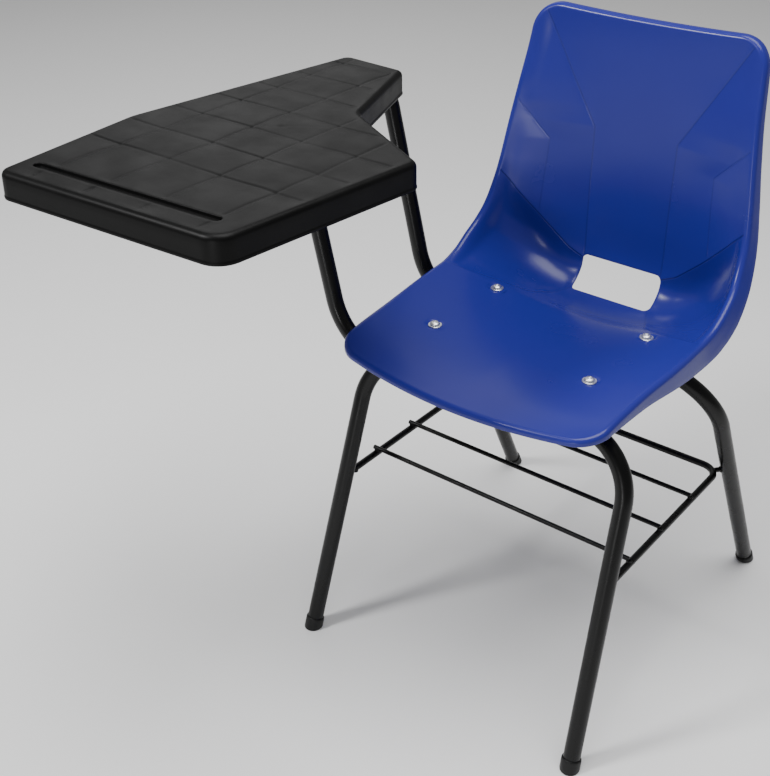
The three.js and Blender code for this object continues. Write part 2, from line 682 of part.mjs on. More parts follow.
function tabletBlank() {
  const round = TABLET_EDGE_ROUND;
  const rounded = prism(tabletOutline(0), TABLET_BOTTOM - round, TABLET_TOP - round, {
    bevelEnabled: true, bevelSize: round, bevelThickness: round, bevelOffset: -round, bevelSegments: 2,
  });
  const reach = 1000;
  const aboveRim = box([-reach, reach], [-reach, reach], [TABLET_BOTTOM, reach]);
  return rounded.intersect(toSolid(aboveRim));
}

function tabletRibs() {
  const low = SKIN_UNDERSIDE - RIB_HEIGHT;
  const high = SKIN_UNDERSIDE + 1;
  const reach = 600;
  let ribs = null;
  const add = (geometry) => {
    const rib = toSolid(geometry);
    ribs = ribs ? ribs.add(rib) : rib;
  };
  for (let i = 0; i < LONG_RIBS.count; i += 1) {
    const x = LONG_RIBS.first + i * LONG_RIBS.pitch;
    add(box([x - RIB_WALL / 2, x + RIB_WALL / 2], [-reach, reach], [low, high]));
  }
  for (let i = 0; i < CROSS_RIBS.count; i += 1) {
    const y = CROSS_RIBS.first + i * CROSS_RIBS.pitch;
    add(box([-reach, reach], [y - RIB_WALL / 2, y + RIB_WALL / 2], [low, high]));
  }
  return ribs.intersect(prism(tabletOutline(TABLET_WALL / 2), low, high));
}

function grooveShape(width) {
  const from = new THREE.Vector2(...PEN_GROOVE.from);
  const to = new THREE.Vector2(...PEN_GROOVE.to);
  const heading = to.clone().sub(from).angle();
  const shape = new THREE.Shape();
  shape.absarc(to.x, to.y, width / 2, heading - Math.PI / 2, heading + Math.PI / 2, false);
  shape.absarc(from.x, from.y, width / 2, heading + Math.PI / 2, heading + Math.PI * 1.5, false);
  return shape;
}

function writingTablet() {
  const cavity = prism(tabletOutline(TABLET_WALL), TABLET_BOTTOM - 1, SKIN_UNDERSIDE);
  let solid = tabletBlank().subtract(cavity).add(tabletRibs());
  const grooveFloor = TABLET_TOP - PEN_GROOVE.depth;
  const trough = prism(grooveShape(PEN_GROOVE.width + 6), grooveFloor - PEN_GROOVE.floor, SKIN_UNDERSIDE + 1);
  const groove = prism(grooveShape(PEN_GROOVE.width), grooveFloor, TABLET_TOP + 1);
  solid = solid.add(trough).subtract(groove);
  const tubeTop = SUPPORT_TOP_HEIGHT + TUBE_RADIUS;
  const reach = TUBE_RADIUS + 1;
  for (const y of [SUPPORT_FRONT_Y, SUPPORT_REAR_Y]) {
    const xRange = [supportEndX(y) - PLUG_FLANGE - 2, supportUpperCornerX() + TUBE_DIAMETER];
    const roomTop = tubeTop + 1;
    const bossTop = Math.max(SKIN_UNDERSIDE, roomTop) + 1;
    const room = box(xRange, [y - reach, y + reach], [TABLET_BOTTOM - 1, roomTop]);
    solid = solid.subtract(toSolid(room));
    for (const x of supportScrewXs(y)) {
      const boss = uprightCylinder(SUPPORT_BOSS / 2, tubeTop + GAP, bossTop, x, y);
      solid = solid.add(toSolid(boss));
      const pilotTop = TABLET_SCREW_TIP + GAP;
      const pilot = uprightCylinder(TABLET_SCREW.shank / 2 + GAP, tubeTop - 1, pilotTop, x, y);
      solid = solid.subtract(toSolid(pilot));
    }
  }
  return named('writing_tablet', toGeometry(solid), BLACK_POLYPROPYLENE);
}

function tabletScrew(name, x, y) {
  const { shank, head, headHeight } = TABLET_SCREW;
  const seat = SUPPORT_TOP_HEIGHT - TUBE_RADIUS - GAP;
  const length = TABLET_SCREW_TIP - seat;
  const profile = [[0, -headHeight], [head * 0.36, -headHeight], [head / 2, -headHeight * 0.4],
    [head / 2, 0], [shank / 2, 0], [shank / 2, length - 2], [0.4, length], [0, length]];
  const screw = named(name, turned(profile), ZINC);
  screw.position.set(x, y, seat);
  return screw;
}

// ---------------------------------------------------------------- assembly

const SIDES = [['left', 1], ['right', -1]];
const chair = new THREE.Group();

const frame = new THREE.Group();
frame.add(legFrame('front_leg_frame', FRONT_LEGS), legFrame('rear_leg_frame', REAR_LEGS));
for (const [label, side] of SIDES) {
  frame.add(seatRail(`seat_rail_${label}`, side));
  frame.add(footCap(`foot_cap_front_${label}`, FRONT_LEGS, side));
  frame.add(footCap(`foot_cap_rear_${label}`, REAR_LEGS, side));
  const x = side * RAIL_OFFSET;
  const front = new THREE.Vector3(x, RAIL_FRONT, RAIL_HEIGHT);
  const rear = new THREE.Vector3(x, RAIL_REAR, RAIL_HEIGHT);
  frame.add(placedPlug(`rail_plug_front_${label}`, front, new THREE.Vector3(0, -1, 0)));
  frame.add(placedPlug(`rail_plug_rear_${label}`, rear, new THREE.Vector3(0, 1, 0)));
}
chair.add(frame);

const rack = new THREE.Group();
rack.add(rackFrame());
RACK_WIRE_Y.forEach((y, i) => rack.add(rackWire(`book_rack_wire_${i + 1}`, y)));
chair.add(rack);

const seat = new THREE.Group();
seat.add(seatShell());
for (const [label, side] of SIDES) {
  seat.add(...seatFasteners(`front_${label}`, side * RAIL_OFFSET, SEAT_BOLT_Y[0]));
  seat.add(...seatFasteners(`rear_${label}`, side * RAIL_OFFSET, SEAT_BOLT_Y[1]));
}
chair.add(seat);

const tabletArm = new THREE.Group();
tabletArm.add(writingTablet());
for (const [label, y] of [['front', SUPPORT_FRONT_Y], ['rear', SUPPORT_REAR_Y]]) {
  tabletArm.add(tabletSupport(`tablet_support_${label}`, y));
  const inner = new THREE.Vector3(SUPPORT_INNER_END, y, CROSS_TUBE_HEIGHT);
  const outer = new THREE.Vector3(supportEndX(y), y, SUPPORT_TOP_HEIGHT);
  tabletArm.add(placedPlug(`support_plug_${label}_inner`, inner, new THREE.Vector3(1, 0, 0)));
  tabletArm.add(placedPlug(`support_plug_${label}_outer`, outer, new THREE.Vector3(-1, 0, 0)));
  const [nearX, farX] = supportScrewXs(y);
  tabletArm.add(tabletScrew(`tablet_screw_${label}_near`, nearX, y));
  tabletArm.add(tabletScrew(`tablet_screw_${label}_far`, farX, y));
}
chair.add(tabletArm);

// The origin stands on the floor under the middle of the whole chair.
const bounds = new THREE.Box3().setFromObject(chair, true);
const middle = bounds.getCenter(new THREE.Vector3());
chair.position.set(-middle.x, -middle.y, -bounds.min.z);

export default chair;
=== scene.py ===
import logging
import math
from collections.abc import Callable
from dataclasses import dataclass, field
from enum import Enum

import bmesh
import bpy
import numpy as np
from mathutils import Euler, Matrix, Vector


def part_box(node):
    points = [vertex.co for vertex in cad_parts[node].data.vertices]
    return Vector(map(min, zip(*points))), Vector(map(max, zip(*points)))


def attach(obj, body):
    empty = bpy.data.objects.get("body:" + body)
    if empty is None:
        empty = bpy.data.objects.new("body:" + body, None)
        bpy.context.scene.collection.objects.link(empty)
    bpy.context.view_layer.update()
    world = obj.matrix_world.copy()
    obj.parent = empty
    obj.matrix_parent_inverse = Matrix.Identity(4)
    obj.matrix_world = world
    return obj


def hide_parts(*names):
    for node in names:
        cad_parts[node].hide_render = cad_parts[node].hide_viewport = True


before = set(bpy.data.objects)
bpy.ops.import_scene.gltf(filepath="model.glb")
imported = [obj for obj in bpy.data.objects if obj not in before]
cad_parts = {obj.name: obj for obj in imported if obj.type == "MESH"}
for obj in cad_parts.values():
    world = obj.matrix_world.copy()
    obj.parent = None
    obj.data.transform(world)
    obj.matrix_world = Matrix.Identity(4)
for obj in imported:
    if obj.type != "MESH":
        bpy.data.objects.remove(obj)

log = logging.getLogger("desk_chair")

MM = 0.001
SHELL_SLOT = "blue_polypropylene"
TABLET_SLOT = "black_polypropylene"
STEEL_SLOT = "black_powder_coat"
END_SLOT = "black_end_plastic"
ZINC_SLOT = "zinc_plated_steel"


# ---------------------------------------------------------------- small tools


def add_node(
    tree: bpy.types.NodeTree,
    kind: str,
    settings: dict | None = None,
    values: dict | None = None,
    links: dict | None = None,
) -> bpy.types.Node:
    """Adds one node with its settings, its socket values and its incoming links.

    Args:
        tree: The shader or geometry tree.
        kind: The node's type name.
        settings: Node attributes by name.
        values: Input values by socket name or number.
        links: Source sockets by input name or number.

    Returns:
        The new node.
    """
    node = tree.nodes.new(kind)
    for name, value in (settings or {}).items():
        setattr(node, name, value)
    for socket, value in (values or {}).items():
        node.inputs[socket].default_value = value
    for socket, source in (links or {}).items():
        tree.links.new(source, node.inputs[socket])
    return node


def linear(hex_colour: str) -> tuple[float, float, float, float]:
    """Turns an sRGB hex colour to linear light.

    Args:
        hex_colour: Six hex digits, with or without a hash.

    Returns:
        Red, green, blue and alpha.
    """
    digits = hex_colour.lstrip("#")
    parts = [int(digits[i : i + 2], 16) / 255 for i in (0, 2, 4)]
    low = [c / 12.92 if c <= 0.04045 else ((c + 0.055) / 1.055) ** 2.4 for c in parts]
    return (low[0], low[1], low[2], 1.0)


def mesh_piece(
    name: str, points: np.ndarray, faces: list, crease_deg: float = 40
) -> bpy.types.Object:
    """Makes a smooth mesh object in the scene from millimetre points in the row frame.

    Args:
        name: The piece's name.
        points: One row of x, y, z for each vertex, in millimetres.
        faces: Lists of vertex numbers.
        crease_deg: Edges that turn more than this are shaded sharp.

    Returns:
        The new object, at the origin.
    """
    mesh = bpy.data.meshes.new(name)
    mesh.from_pydata((np.asarray(points, float) * MM).tolist(), [], [list(f) for f in faces])
    mesh.update()
    piece = bpy.data.objects.new(name, mesh)
    bpy.context.scene.collection.objects.link(piece)
    soften(piece, crease_deg)
    return piece


def soften(piece: bpy.types.Object, crease_deg: float) -> None:
    """Shades a piece smooth, with sharp edges where it turns by more than an angle.

    Args:
        piece: A mesh object.
        crease_deg: The angle, in degrees.
    """
    mesh = piece.data
    mesh.polygons.foreach_set("use_smooth", np.ones(len(mesh.polygons), bool))
    mesh.set_sharp_from_angle(angle=math.radians(crease_deg))


def border_loops(faces: list) -> list[list[int]]:
    """Finds the open borders of a sheet of faces.

    Args:
        faces: Lists of vertex numbers, all turning the same way.

    Returns:
        Loops of vertex numbers in the faces' own direction, longest first.
    """
    edges = {}
    for face in faces:
        for a, b in zip(face, face[1:] + face[:1]):
            edges[(a, b)] = True
    following = {a: b for a, b in edges if (b, a) not in edges}
    loops = []
    while following:
        start = next(iter(following))
        loop, here = [], start
        while here in following:
            loop.append(here)
            here = following.pop(here)
        loops.append(loop)
    return sorted(loops, key=len, reverse=True)


def ring_faces(inner: list[int], outer: list[int]) -> list[list[int]]:
    """Joins a border loop to a ring of as many vertices outside it.

    Args:
        inner: The border loop, in the faces' direction.
        outer: The vertices that each one goes to.

    Returns:
        The quads between them.
    """
    after = inner[1:] + inner[:1]
    beyond = outer[1:] + outer[:1]
    return [list(quad) for quad in zip(after, inner, outer, beyond)]


def wall_faces(low: list[int], high: list[int]) -> list[list[int]]:
    """Joins a ring of vertices to the ring above it.

    Args:
        low: The lower ring, anticlockwise.
        high: As many vertices above them.

    Returns:
        The quads between them.
    """
    return [list(quad) for quad in zip(low, low[1:] + low[:1], high[1:] + high[:1], high)]


def box_middle(node: str) -> Vector:
    """The middle of a node's box, in millimetres."""
    low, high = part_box(node)
    return (low + high) / 2 / MM


def unit(vectors: np.ndarray) -> np.ndarray:
    """Scales each row of an array to length one."""
    return vectors / np.maximum(np.linalg.norm(vectors, axis=-1, keepdims=True), 1e-12)


def smooth_step(low: float, high: float, value: np.ndarray) -> np.ndarray:
    """Rises smoothly from 0 at low to 1 at high."""
    share = np.clip((value - low) / (high - low), 0, 1)
    return share * share * (3 - 2 * share)


def bent_route(corners: list[Vector], bends: list[float], turns: int = 20) -> list[Vector]:
    """Lays points along straight runs joined by round bends.

    Args:
        corners: Where the runs would meet, in millimetres.
        bends: The bend radius at each inner corner.
        turns: Steps in each bend.

    Returns:
        The points of the centre line.
    """
    route = [corners[0]]
    for i, radius in enumerate(bends, start=1):
        arriving = (corners[i] - corners[i - 1]).normalized()
        leaving = (corners[i + 1] - corners[i]).normalized()
        angle = arriving.angle(leaving)
        start = corners[i] - arriving * radius * math.tan(angle / 2)
        inward = (leaving - arriving * arriving.dot(leaving)).normalized()
        centre = start + inward * radius
        for k in range(turns + 1):
            turn = angle * k / turns
            spoke = arriving * math.sin(turn) - inward * math.cos(turn)
            route.append(centre + spoke * radius)
    return route + [corners[-1]]


# ---------------------------------------------------------------- finishes


class Grain(Enum):
    """How a surface's fine relief was made."""

    ORANGE_PEEL = "NOISE"
    SPARK_ERODED = "VORONOI"


@dataclass(frozen=True)
class Finish:
    """A real finish: its colour, its gloss and the relief that the eye sees in it."""

    name: str
    colour: str
    shade: str
    roughness: float
    grain_mm: float
    grain_height_mm: float
    cloud_mm: float
    metallic: float = 0.0
    ior: float = 1.5
    roughness_change: float = 0.06
    specular: float = 0.5
    grain: Grain = Grain.ORANGE_PEEL

    def material(self) -> bpy.types.Material:
        """Builds the node material once and returns it after that."""
        known = bpy.data.materials.get(self.name)
        if known:
            return known
        made = bpy.data.materials.new(self.name)
        made.use_nodes = True
        tree = made.node_tree
        shader = tree.nodes["Principled BSDF"]
        shader.inputs["Metallic"].default_value = self.metallic
        if not self.metallic:
            shader.inputs["IOR"].default_value = self.ior
        shader.inputs["Specular IOR Level"].default_value = self.specular
        place = add_node(tree, "ShaderNodeTexCoord").outputs["Object"]
        cloud = add_node(
            tree,
            "ShaderNodeTexNoise",
            values={"Scale": 1 / (self.cloud_mm * MM), "Detail": 4.0, "Roughness": 0.55},
            links={"Vector": place},
        )
        colour = add_node(
            tree,
            "ShaderNodeMix",
            settings={"data_type": "RGBA"},
            values={6: linear(self.colour), 7: linear(self.shade)},
            links={0: cloud.outputs["Fac"]},
        )
        tree.links.new(colour.outputs[2], shader.inputs["Base Color"])
        self._relief(tree, shader, place)
        gloss = add_node(
            tree,
            "ShaderNodeMapRange",
            values={
                "From Min": 0.3,
                "From Max": 0.7,
                "To Min": self.roughness - self.roughness_change,
                "To Max": self.roughness + self.roughness_change,
            },
            links={"Value": cloud.outputs["Fac"]},
        )
        tree.links.new(gloss.outputs["Result"], shader.inputs["Roughness"])
        return made

    def _relief(
        self, tree: bpy.types.NodeTree, shader: bpy.types.Node, place: bpy.types.NodeSocket
    ) -> None:
        """Adds the fine relief.

        Args:
            tree: The material's tree.
            shader: Its surface shader.
            place: Object coordinates.
        """
        scale = 1 / (self.grain_mm * MM)
        if self.grain is Grain.SPARK_ERODED:
            cells = add_node(
                tree,
                "ShaderNodeTexVoronoi",
                settings={"feature": "SMOOTH_F1"},
                values={"Scale": scale, "Smoothness": 0.6},
                links={"Vector": place},
            )
            height = cells.outputs["Distance"]
        else:
            peel = add_node(
                tree,
                "ShaderNodeTexNoise",
                values={"Scale": scale, "Detail": 2.0, "Roughness": 0.5},
                links={"Vector": place},
            )
            height = peel.outputs["Fac"]
        bump = add_node(
            tree,
            "ShaderNodeBump",
            values={"Strength": 1.0, "Distance": self.grain_height_mm * MM},
            links={"Height": height},
        )
        tree.links.new(bump.outputs["Normal"], shader.inputs["Normal"])


class FoldLine(Enum):
    """A fold line: its attribute, axis, width in mm, weight of its groove and of its painted shade, and
    whether only the back has it.
    """

    INNER = ("folds", 0, 2.0, 0.55, True)
    OUTER = ("folds", 1, 2.0, 0.36, True)
    PANEL = ("folds", 2, 1.5, 1.0, False)
    SEAT = ("borders", 0, 1.4, 0.26, False)


@dataclass(frozen=True)
class FoldedFinish(Finish):
    """A moulded finish on a shell whose fold lines show as fine shallow grooves with painted shade along
    them.
    """

    line_depth_mm: float = 0.5
    # Painted shade: along the fold lines the colour darkens towards this dark blue, by this share at full
    # weight.
    crease_painted_shade: str = "#0B1550"
    crease_shade_share: float = 0.55

    def _relief(
        self, tree: bpy.types.NodeTree, shader: bpy.types.Node, place: bpy.types.NodeSocket
    ) -> None:
        """Adds the fine relief, and the fold lines as shallow grooves with painted shade.

        Args:
            tree: The material's tree.
            shader: Its surface shader.
            place: Object coordinates.
        """
        super()._relief(tree, shader, place)
        parts = {}
        for name in ("folds", "borders"):
            stored = add_node(tree, "ShaderNodeAttribute", settings={"attribute_name": name})
            split = add_node(tree, "ShaderNodeSeparateXYZ", links={0: stored.outputs["Vector"]})
            parts[name] = split
        total = parts["borders"].outputs[2]
        for line in FoldLine:
            total = self._add_line(tree, parts, line, total)
        drawn = add_node(
            tree,
            "ShaderNodeMath",
            settings={"operation": "MULTIPLY"},
            links={0: total, 1: parts["borders"].outputs[1]},
        )
        peel = shader.inputs["Normal"].links[0].from_node
        groove = add_node(
            tree,
            "ShaderNodeBump",
            settings={"invert": True},
            values={"Strength": 1.0, "Distance": self.line_depth_mm * MM},
            links={"Height": drawn.outputs[0], "Normal": peel.outputs["Normal"]},
        )
        tree.links.new(groove.outputs["Normal"], shader.inputs["Normal"])
        # Painted shade: the base colour darkens towards a dark blue along the fold lines.
        colour = shader.inputs["Base Color"].links[0].from_socket
        share = add_node(
            tree,
            "ShaderNodeMath",
            settings={"operation": "MULTIPLY"},
            values={1: self.crease_shade_share},
            links={0: drawn.outputs[0]},
        )
        shaded = add_node(
            tree,
            "ShaderNodeMix",
            settings={"data_type": "RGBA"},
            values={7: linear(self.crease_painted_shade)},
            links={0: share.outputs[0], 6: colour},
        )
        tree.links.new(shaded.outputs[2], shader.inputs["Base Color"])

    @staticmethod
    def _add_line(
        tree: bpy.types.NodeTree, parts: dict, line: FoldLine, total: bpy.types.NodeSocket
    ) -> bpy.types.NodeSocket:
        """Adds one fold line to the sum of them.

        Args:
            tree: The material's tree.
            parts: The split distance attributes by name.
            line: The fold line.
            total: The sum so far.

        Returns:
            The new sum.
        """
        name, axis, width, weight, on_panel = line.value
        away = add_node(
            tree,
            "ShaderNodeMath",
            settings={"operation": "ABSOLUTE"},
            links={0: parts[name].outputs[axis]},
        )
        strength = add_node(
            tree,
            "ShaderNodeMapRange",
            settings={"interpolation_type": "SMOOTHSTEP"},
            values={"From Min": 0.0, "From Max": width, "To Min": weight, "To Max": 0.0},
            links={"Value": away.outputs[0]},
        )
        result = strength.outputs["Result"]
        if on_panel:
            above = add_node(
                tree,
                "ShaderNodeMapRange",
                values={"From Min": -6.0, "From Max": -1.0, "To Min": 1.0, "To Max": 0.0},
                links={"Value": parts["folds"].outputs[2]},
            )
            masked = add_node(
                tree,
                "ShaderNodeMath",
                settings={"operation": "MULTIPLY"},
                links={0: result, 1: above.outputs["Result"]},
            )
            result = masked.outputs[0]
        adding = {"operation": "ADD"}
        added = add_node(tree, "ShaderNodeMath", settings=adding, links={0: total, 1: result})
        return added.outputs[0]


# Injection-moulded polypropylene off a polished tool: deep blue, glossy, with a faint waviness
# that softens the edges of a highlight and a slight clouding from the flow of the melt.
BLUE_POLYPROPYLENE = FoldedFinish(
    "moulded_blue_polypropylene",
    "#252986",
    "#232681",
    0.26,
    14.0,
    0.004,
    70.0,
    roughness_change=0.015,
    specular=0.34,
)

# Injection-moulded polypropylene off a spark-eroded tool: black with a fine pebbled grain, a little
# coarser here than the real 0.3 mm so that it shows. It scatters light to a broad grey sheen.
BLACK_POLYPROPYLENE = Finish(
    "grained_black_polypropylene",
    "#040404",
    "#060606",
    0.42,
    1.1,
    0.03,
    45.0,
    roughness_change=0.05,
    specular=0.15,
    grain=Grain.SPARK_ERODED,
)

# Polyester powder coat on steel tube: black, semi-gloss, with the slight orange peel of a coat
# that flowed together in the oven. The highlight along a tube is broken up a little.
POWDER_COAT = Finish(
    "black_powder_coat_semi_gloss",
    "#040404",
    "#070707",
    0.28,
    1.8,
    0.018,
    30.0,
    roughness_change=0.05,
    specular=0.26,
)

# Moulded low-density polyethylene of the foot caps and tube plugs: matte black, slightly waxy.
END_PLASTIC = Finish(
    "matte_black_polyethylene",
    "#080808",
    "#0D0D0E",
    0.5,
    0.9,
    0.02,
    12.0,
    roughness_change=0.08,
    specular=0.3,
)

# Bright zinc plate on cold-formed steel: pale grey metal with faint blooming.
ZINC_PLATE = Finish(
    "bright_zinc_plate",
    "#F4F5F6",
    "#E6E8EB",
    0.36,
    0.7,
    0.004,
    5.0,
    metallic=1.0,
    roughness_change=0.08,
)

# Matte white studio floor sheet.
FLOOR_SHEET = Finish("white_studio_floor", "#FAFAFA", "#F8F8F8", 0.9, 3.0, 0.0, 400.0)


# ---------------------------------------------------------------- geometry node shapes


class NodeShapes:
    """The node trees that make what repeats or follows a path."""

    def __init__(self) -> None:
        """Builds every tree once."""
        self.bar = self._bar()
        self.strip = self._strip()
        self.bead = self._bead()
        self.spread = self._spread()

    @staticmethod
    def _start(name: str, inputs: dict[str, tuple[str, float | int | None]]) -> tuple:
        """Starts a tree with a geometry input, named inputs and a geometry output.

        Args:
            name: The tree's name.
            inputs: Socket type and starting value by input name.

        Returns:
            The tree and its input node.
        """
        tree = bpy.data.node_groups.new(name, "GeometryNodeTree")
        tree.interface.new_socket("Geometry", in_out="INPUT", socket_type="NodeSocketGeometry")
        for label, (kind, value) in inputs.items():
            socket = tree.interface.new_socket(label, in_out="INPUT", socket_type=kind)
            if value is not None:
                socket.default_value = value
        tree.interface.new_socket("Geometry", in_out="OUTPUT", socket_type="NodeSocketGeometry")
        return tree, add_node(tree, "NodeGroupInput")

    @staticmethod
    def _end(
        tree: bpy.types.NodeTree, shape: bpy.types.NodeSocket, material: bpy.types.NodeSocket
    ) -> None:
        """Ends a tree in real, dressed geometry.

        Args:
            tree: The tree.
            shape: The geometry so far.
            material: The material to set.
        """
        smooth = add_node(tree, "GeometryNodeSetShadeSmooth", links={"Geometry": shape})
        real = add_node(tree, "GeometryNodeRealizeInstances", links={"Geometry": smooth.outputs[0]})
        given = {"Geometry": real.outputs[0], "Material": material}
        dressed = add_node(tree, "GeometryNodeSetMaterial", links=given)
        add_node(tree, "NodeGroupOutput", links={0: dressed.outputs[0]})

    def _bar(self) -> bpy.types.NodeTree:
        """Builds the tree for a round bar or tube along a line of edges."""
        tree, given = self._start(
            "round_bar",
            {
                "Radius": ("NodeSocketFloat", 0.01),
                "Sides": ("NodeSocketInt", 32),
                "Material": ("NodeSocketMaterial", None),
            },
        )
        line = add_node(tree, "GeometryNodeMeshToCurve", links={"Mesh": given.outputs["Geometry"]})
        section = add_node(
            tree,
            "GeometryNodeCurvePrimitiveCircle",
            links={"Resolution": given.outputs["Sides"], "Radius": given.outputs["Radius"]},
        )
        bar = add_node(
            tree,
            "GeometryNodeCurveToMesh",
            values={"Fill Caps": True},
            links={"Curve": line.outputs[0], "Profile Curve": section.outputs[0]},
        )
        self._end(tree, bar.outputs[0], given.outputs["Material"])
        return tree

    def _strip(self) -> bpy.types.NodeTree:
        """Builds the tree for flat ribs that stand on edge along lines."""
        tree, given = self._start(
            "standing_rib",
            {
                "Thickness": ("NodeSocketFloat", 0.002),
                "Height": ("NodeSocketFloat", 0.016),
                "Material": ("NodeSocketMaterial", None),
            },
        )
        line = add_node(tree, "GeometryNodeMeshToCurve", links={"Mesh": given.outputs["Geometry"]})
        upright = add_node(
            tree, "GeometryNodeSetCurveNormal", settings={"mode": "Z_UP"}, links={"Curve": line.outputs[0]}
        )
        section = add_node(
            tree,
            "GeometryNodeCurvePrimitiveQuadrilateral",
            links={"Width": given.outputs["Thickness"], "Height": given.outputs["Height"]},
        )
        rib = add_node(
            tree,
            "GeometryNodeCurveToMesh",
            values={"Fill Caps": True},
            links={"Curve": upright.outputs[0], "Profile Curve": section.outputs[0]},
        )
        self._end(tree, rib.outputs[0], given.outputs["Material"])
        return tree

    def _bead(self) -> bpy.types.NodeTree:
        """Builds the tree for weld beads: rings round the points, rippled like laid-down metal."""
        tree, given = self._start(
            "weld_bead",
            {
                "Ring Radius": ("NodeSocketFloat", 0.005),
                "Bead Radius": ("NodeSocketFloat", 0.0015),
                "Ripple": ("NodeSocketFloat", 0.0006),
                "Material": ("NodeSocketMaterial", None),
            },
        )
        ring = add_node(
            tree,
            "GeometryNodeCurvePrimitiveCircle",
            values={"Resolution": 40},
            links={"Radius": given.outputs["Ring Radius"]},
        )
        section = add_node(
            tree,
            "GeometryNodeCurvePrimitiveCircle",
            values={"Resolution": 10},
            links={"Radius": given.outputs["Bead Radius"]},
        )
        bead = add_node(
            tree,
            "GeometryNodeCurveToMesh",
            links={"Curve": ring.outputs[0], "Profile Curve": section.outputs[0]},
        )
        rings = self._at_points(tree, given, bead.outputs[0])
        real = add_node(tree, "GeometryNodeRealizeInstances", links={"Geometry": rings})
        noise = add_node(tree, "ShaderNodeTexNoise", values={"Scale": 420.0, "Detail": 1.0})
        centred = add_node(
            tree,
            "ShaderNodeMath",
            settings={"operation": "SUBTRACT"},
            values={1: 0.5},
            links={0: noise.outputs["Fac"]},
        )
        sized = add_node(
            tree,
            "ShaderNodeMath",
            settings={"operation": "MULTIPLY"},
            links={0: centred.outputs[0], 1: given.outputs["Ripple"]},
        )
        outward = add_node(tree, "GeometryNodeInputNormal")
        offset = add_node(
            tree,
            "ShaderNodeVectorMath",
            settings={"operation": "SCALE"},
            links={0: outward.outputs[0], "Scale": sized.outputs[0]},
        )
        rippled = add_node(
            tree,
            "GeometryNodeSetPosition",
            links={"Geometry": real.outputs[0], "Offset": offset.outputs[0]},
        )
        self._end(tree, rippled.outputs[0], given.outputs["Material"])
        return tree

    def _spread(self) -> bpy.types.NodeTree:
        """Builds the tree that sets one turned shape on every point."""
        tree, given = self._start(
            "set_on_points",
            {"Shape": ("NodeSocketObject", None), "Material": ("NodeSocketMaterial", None)},
        )
        shape = add_node(tree, "GeometryNodeObjectInfo", links={"Object": given.outputs["Shape"]})
        placed = self._at_points(tree, given, shape.outputs["Geometry"])
        self._end(tree, placed, given.outputs["Material"])
        return tree

    @staticmethod
    def _at_points(
        tree: bpy.types.NodeTree, given: bpy.types.Node, shape: bpy.types.NodeSocket
    ) -> bpy.types.NodeSocket:
        """Sets a shape on the input's points, turned by their own attribute.

        Args:
            tree: The tree.
            given: The tree's input node.
            shape: The geometry to set.

        Returns:
            The instances.
        """
        turn = add_node(
            tree,
            "GeometryNodeInputNamedAttribute",
            settings={"data_type": "FLOAT_VECTOR"},
            values={"Name": "turn"},
        )
        rotation = add_node(tree, "FunctionNodeEulerToRotation", links={0: turn.outputs["Attribute"]})
        placed = add_node(
            tree,
            "GeometryNodeInstanceOnPoints",
            links={
                "Points": given.outputs["Geometry"],
                "Instance": shape,
                "Rotation": rotation.outputs[0],
            },
        )
        return placed.outputs[0]


def run_tree(
    piece: bpy.types.Object, tree: bpy.types.NodeTree, inputs: dict, crease_deg: float = 40
) -> None:
    """Runs a node tree on a piece and keeps the result as its plain mesh.

    Args:
        piece: The object that carries the line or the points.
        tree: The node tree.
        inputs: Values by input name.
        crease_deg: Edges that turn more than this are shaded sharp.
    """
    modifier = piece.modifiers.new("shape", "NODES")
    modifier.node_group = tree
    for item in tree.interface.items_tree:
        if item.item_type == "SOCKET" and item.in_out == "INPUT" and item.name in inputs:
            modifier[item.identifier] = inputs[item.name]
    bpy.context.view_layer.update()
    evaluated = piece.evaluated_get(bpy.context.evaluated_depsgraph_get())
    made = bpy.data.meshes.new_from_object(evaluated)
    piece.modifiers.clear()
    piece.data = made
    soften(piece, crease_deg)


def line_piece(name: str, routes: list[list[Vector]]) -> bpy.types.Object:
    """Makes an object of edges only, one line for each route, in millimetres."""
    points, edges = [], []
    for route in routes:
        first = len(points)
        points += [tuple(p * MM) for p in route]
        edges += [(first + i, first + i + 1) for i in range(len(route) - 1)]
    mesh = bpy.data.meshes.new(name)
    mesh.from_pydata(points, edges, [])
    piece = bpy.data.objects.new(name, mesh)
    bpy.context.scene.collection.objects.link(piece)
    return piece


def point_piece(name: str, places: list[tuple[Vector, Vector]]) -> bpy.types.Object:
    """Makes an object of points, each with the turn that takes +Z to its own direction.

    Args:
        name: The piece's name.
        places: Point in millimetres and direction, for each.

    Returns:
        The new object.
    """
    mesh = bpy.data.meshes.new(name)
    mesh.from_pydata([tuple(p * MM) for p, _ in places], [], [])
    turn = mesh.attributes.new("turn", "FLOAT_VECTOR", "POINT")
    for i, (_, direction) in enumerate(places):
        turn.data[i].vector = Vector((0, 0, 1)).rotation_difference(direction).to_euler()
    piece = bpy.data.objects.new(name, mesh)
    bpy.context.scene.collection.objects.link(piece)
    return piece


def turned(name: str, profile: list[tuple[float, float]], sides: int = 32) -> bpy.types.Object:
    """Turns a closed profile about +Z.

    Args:
        name: The object's name.
        profile: Radius and height from the lowest axis point round to the highest, in millimetres.
        sides: Steps round the axis.

    Returns:
        The new object.
    """
    points, faces = [], []
    rings = []
    for radius, height in profile:
        if radius == 0:
            rings.append([len(points)])
            points.append((0, 0, height))
            continue
        rings.append(list(range(len(points), len(points) + sides)))
        for k in range(sides):
            angle = 2 * math.pi * k / sides
            points.append((radius * math.cos(angle), radius * math.sin(angle), height))
    for low, high in zip(rings, rings[1:]):
        for k in range(sides):
            n = (k + 1) % sides
            quad = [low[k % len(low)], low[n % len(low)], high[n % len(high)], high[k % len(high)]]
            faces.append(list(dict.fromkeys(quad)))
    return mesh_piece(name, np.array(points, float), faces)


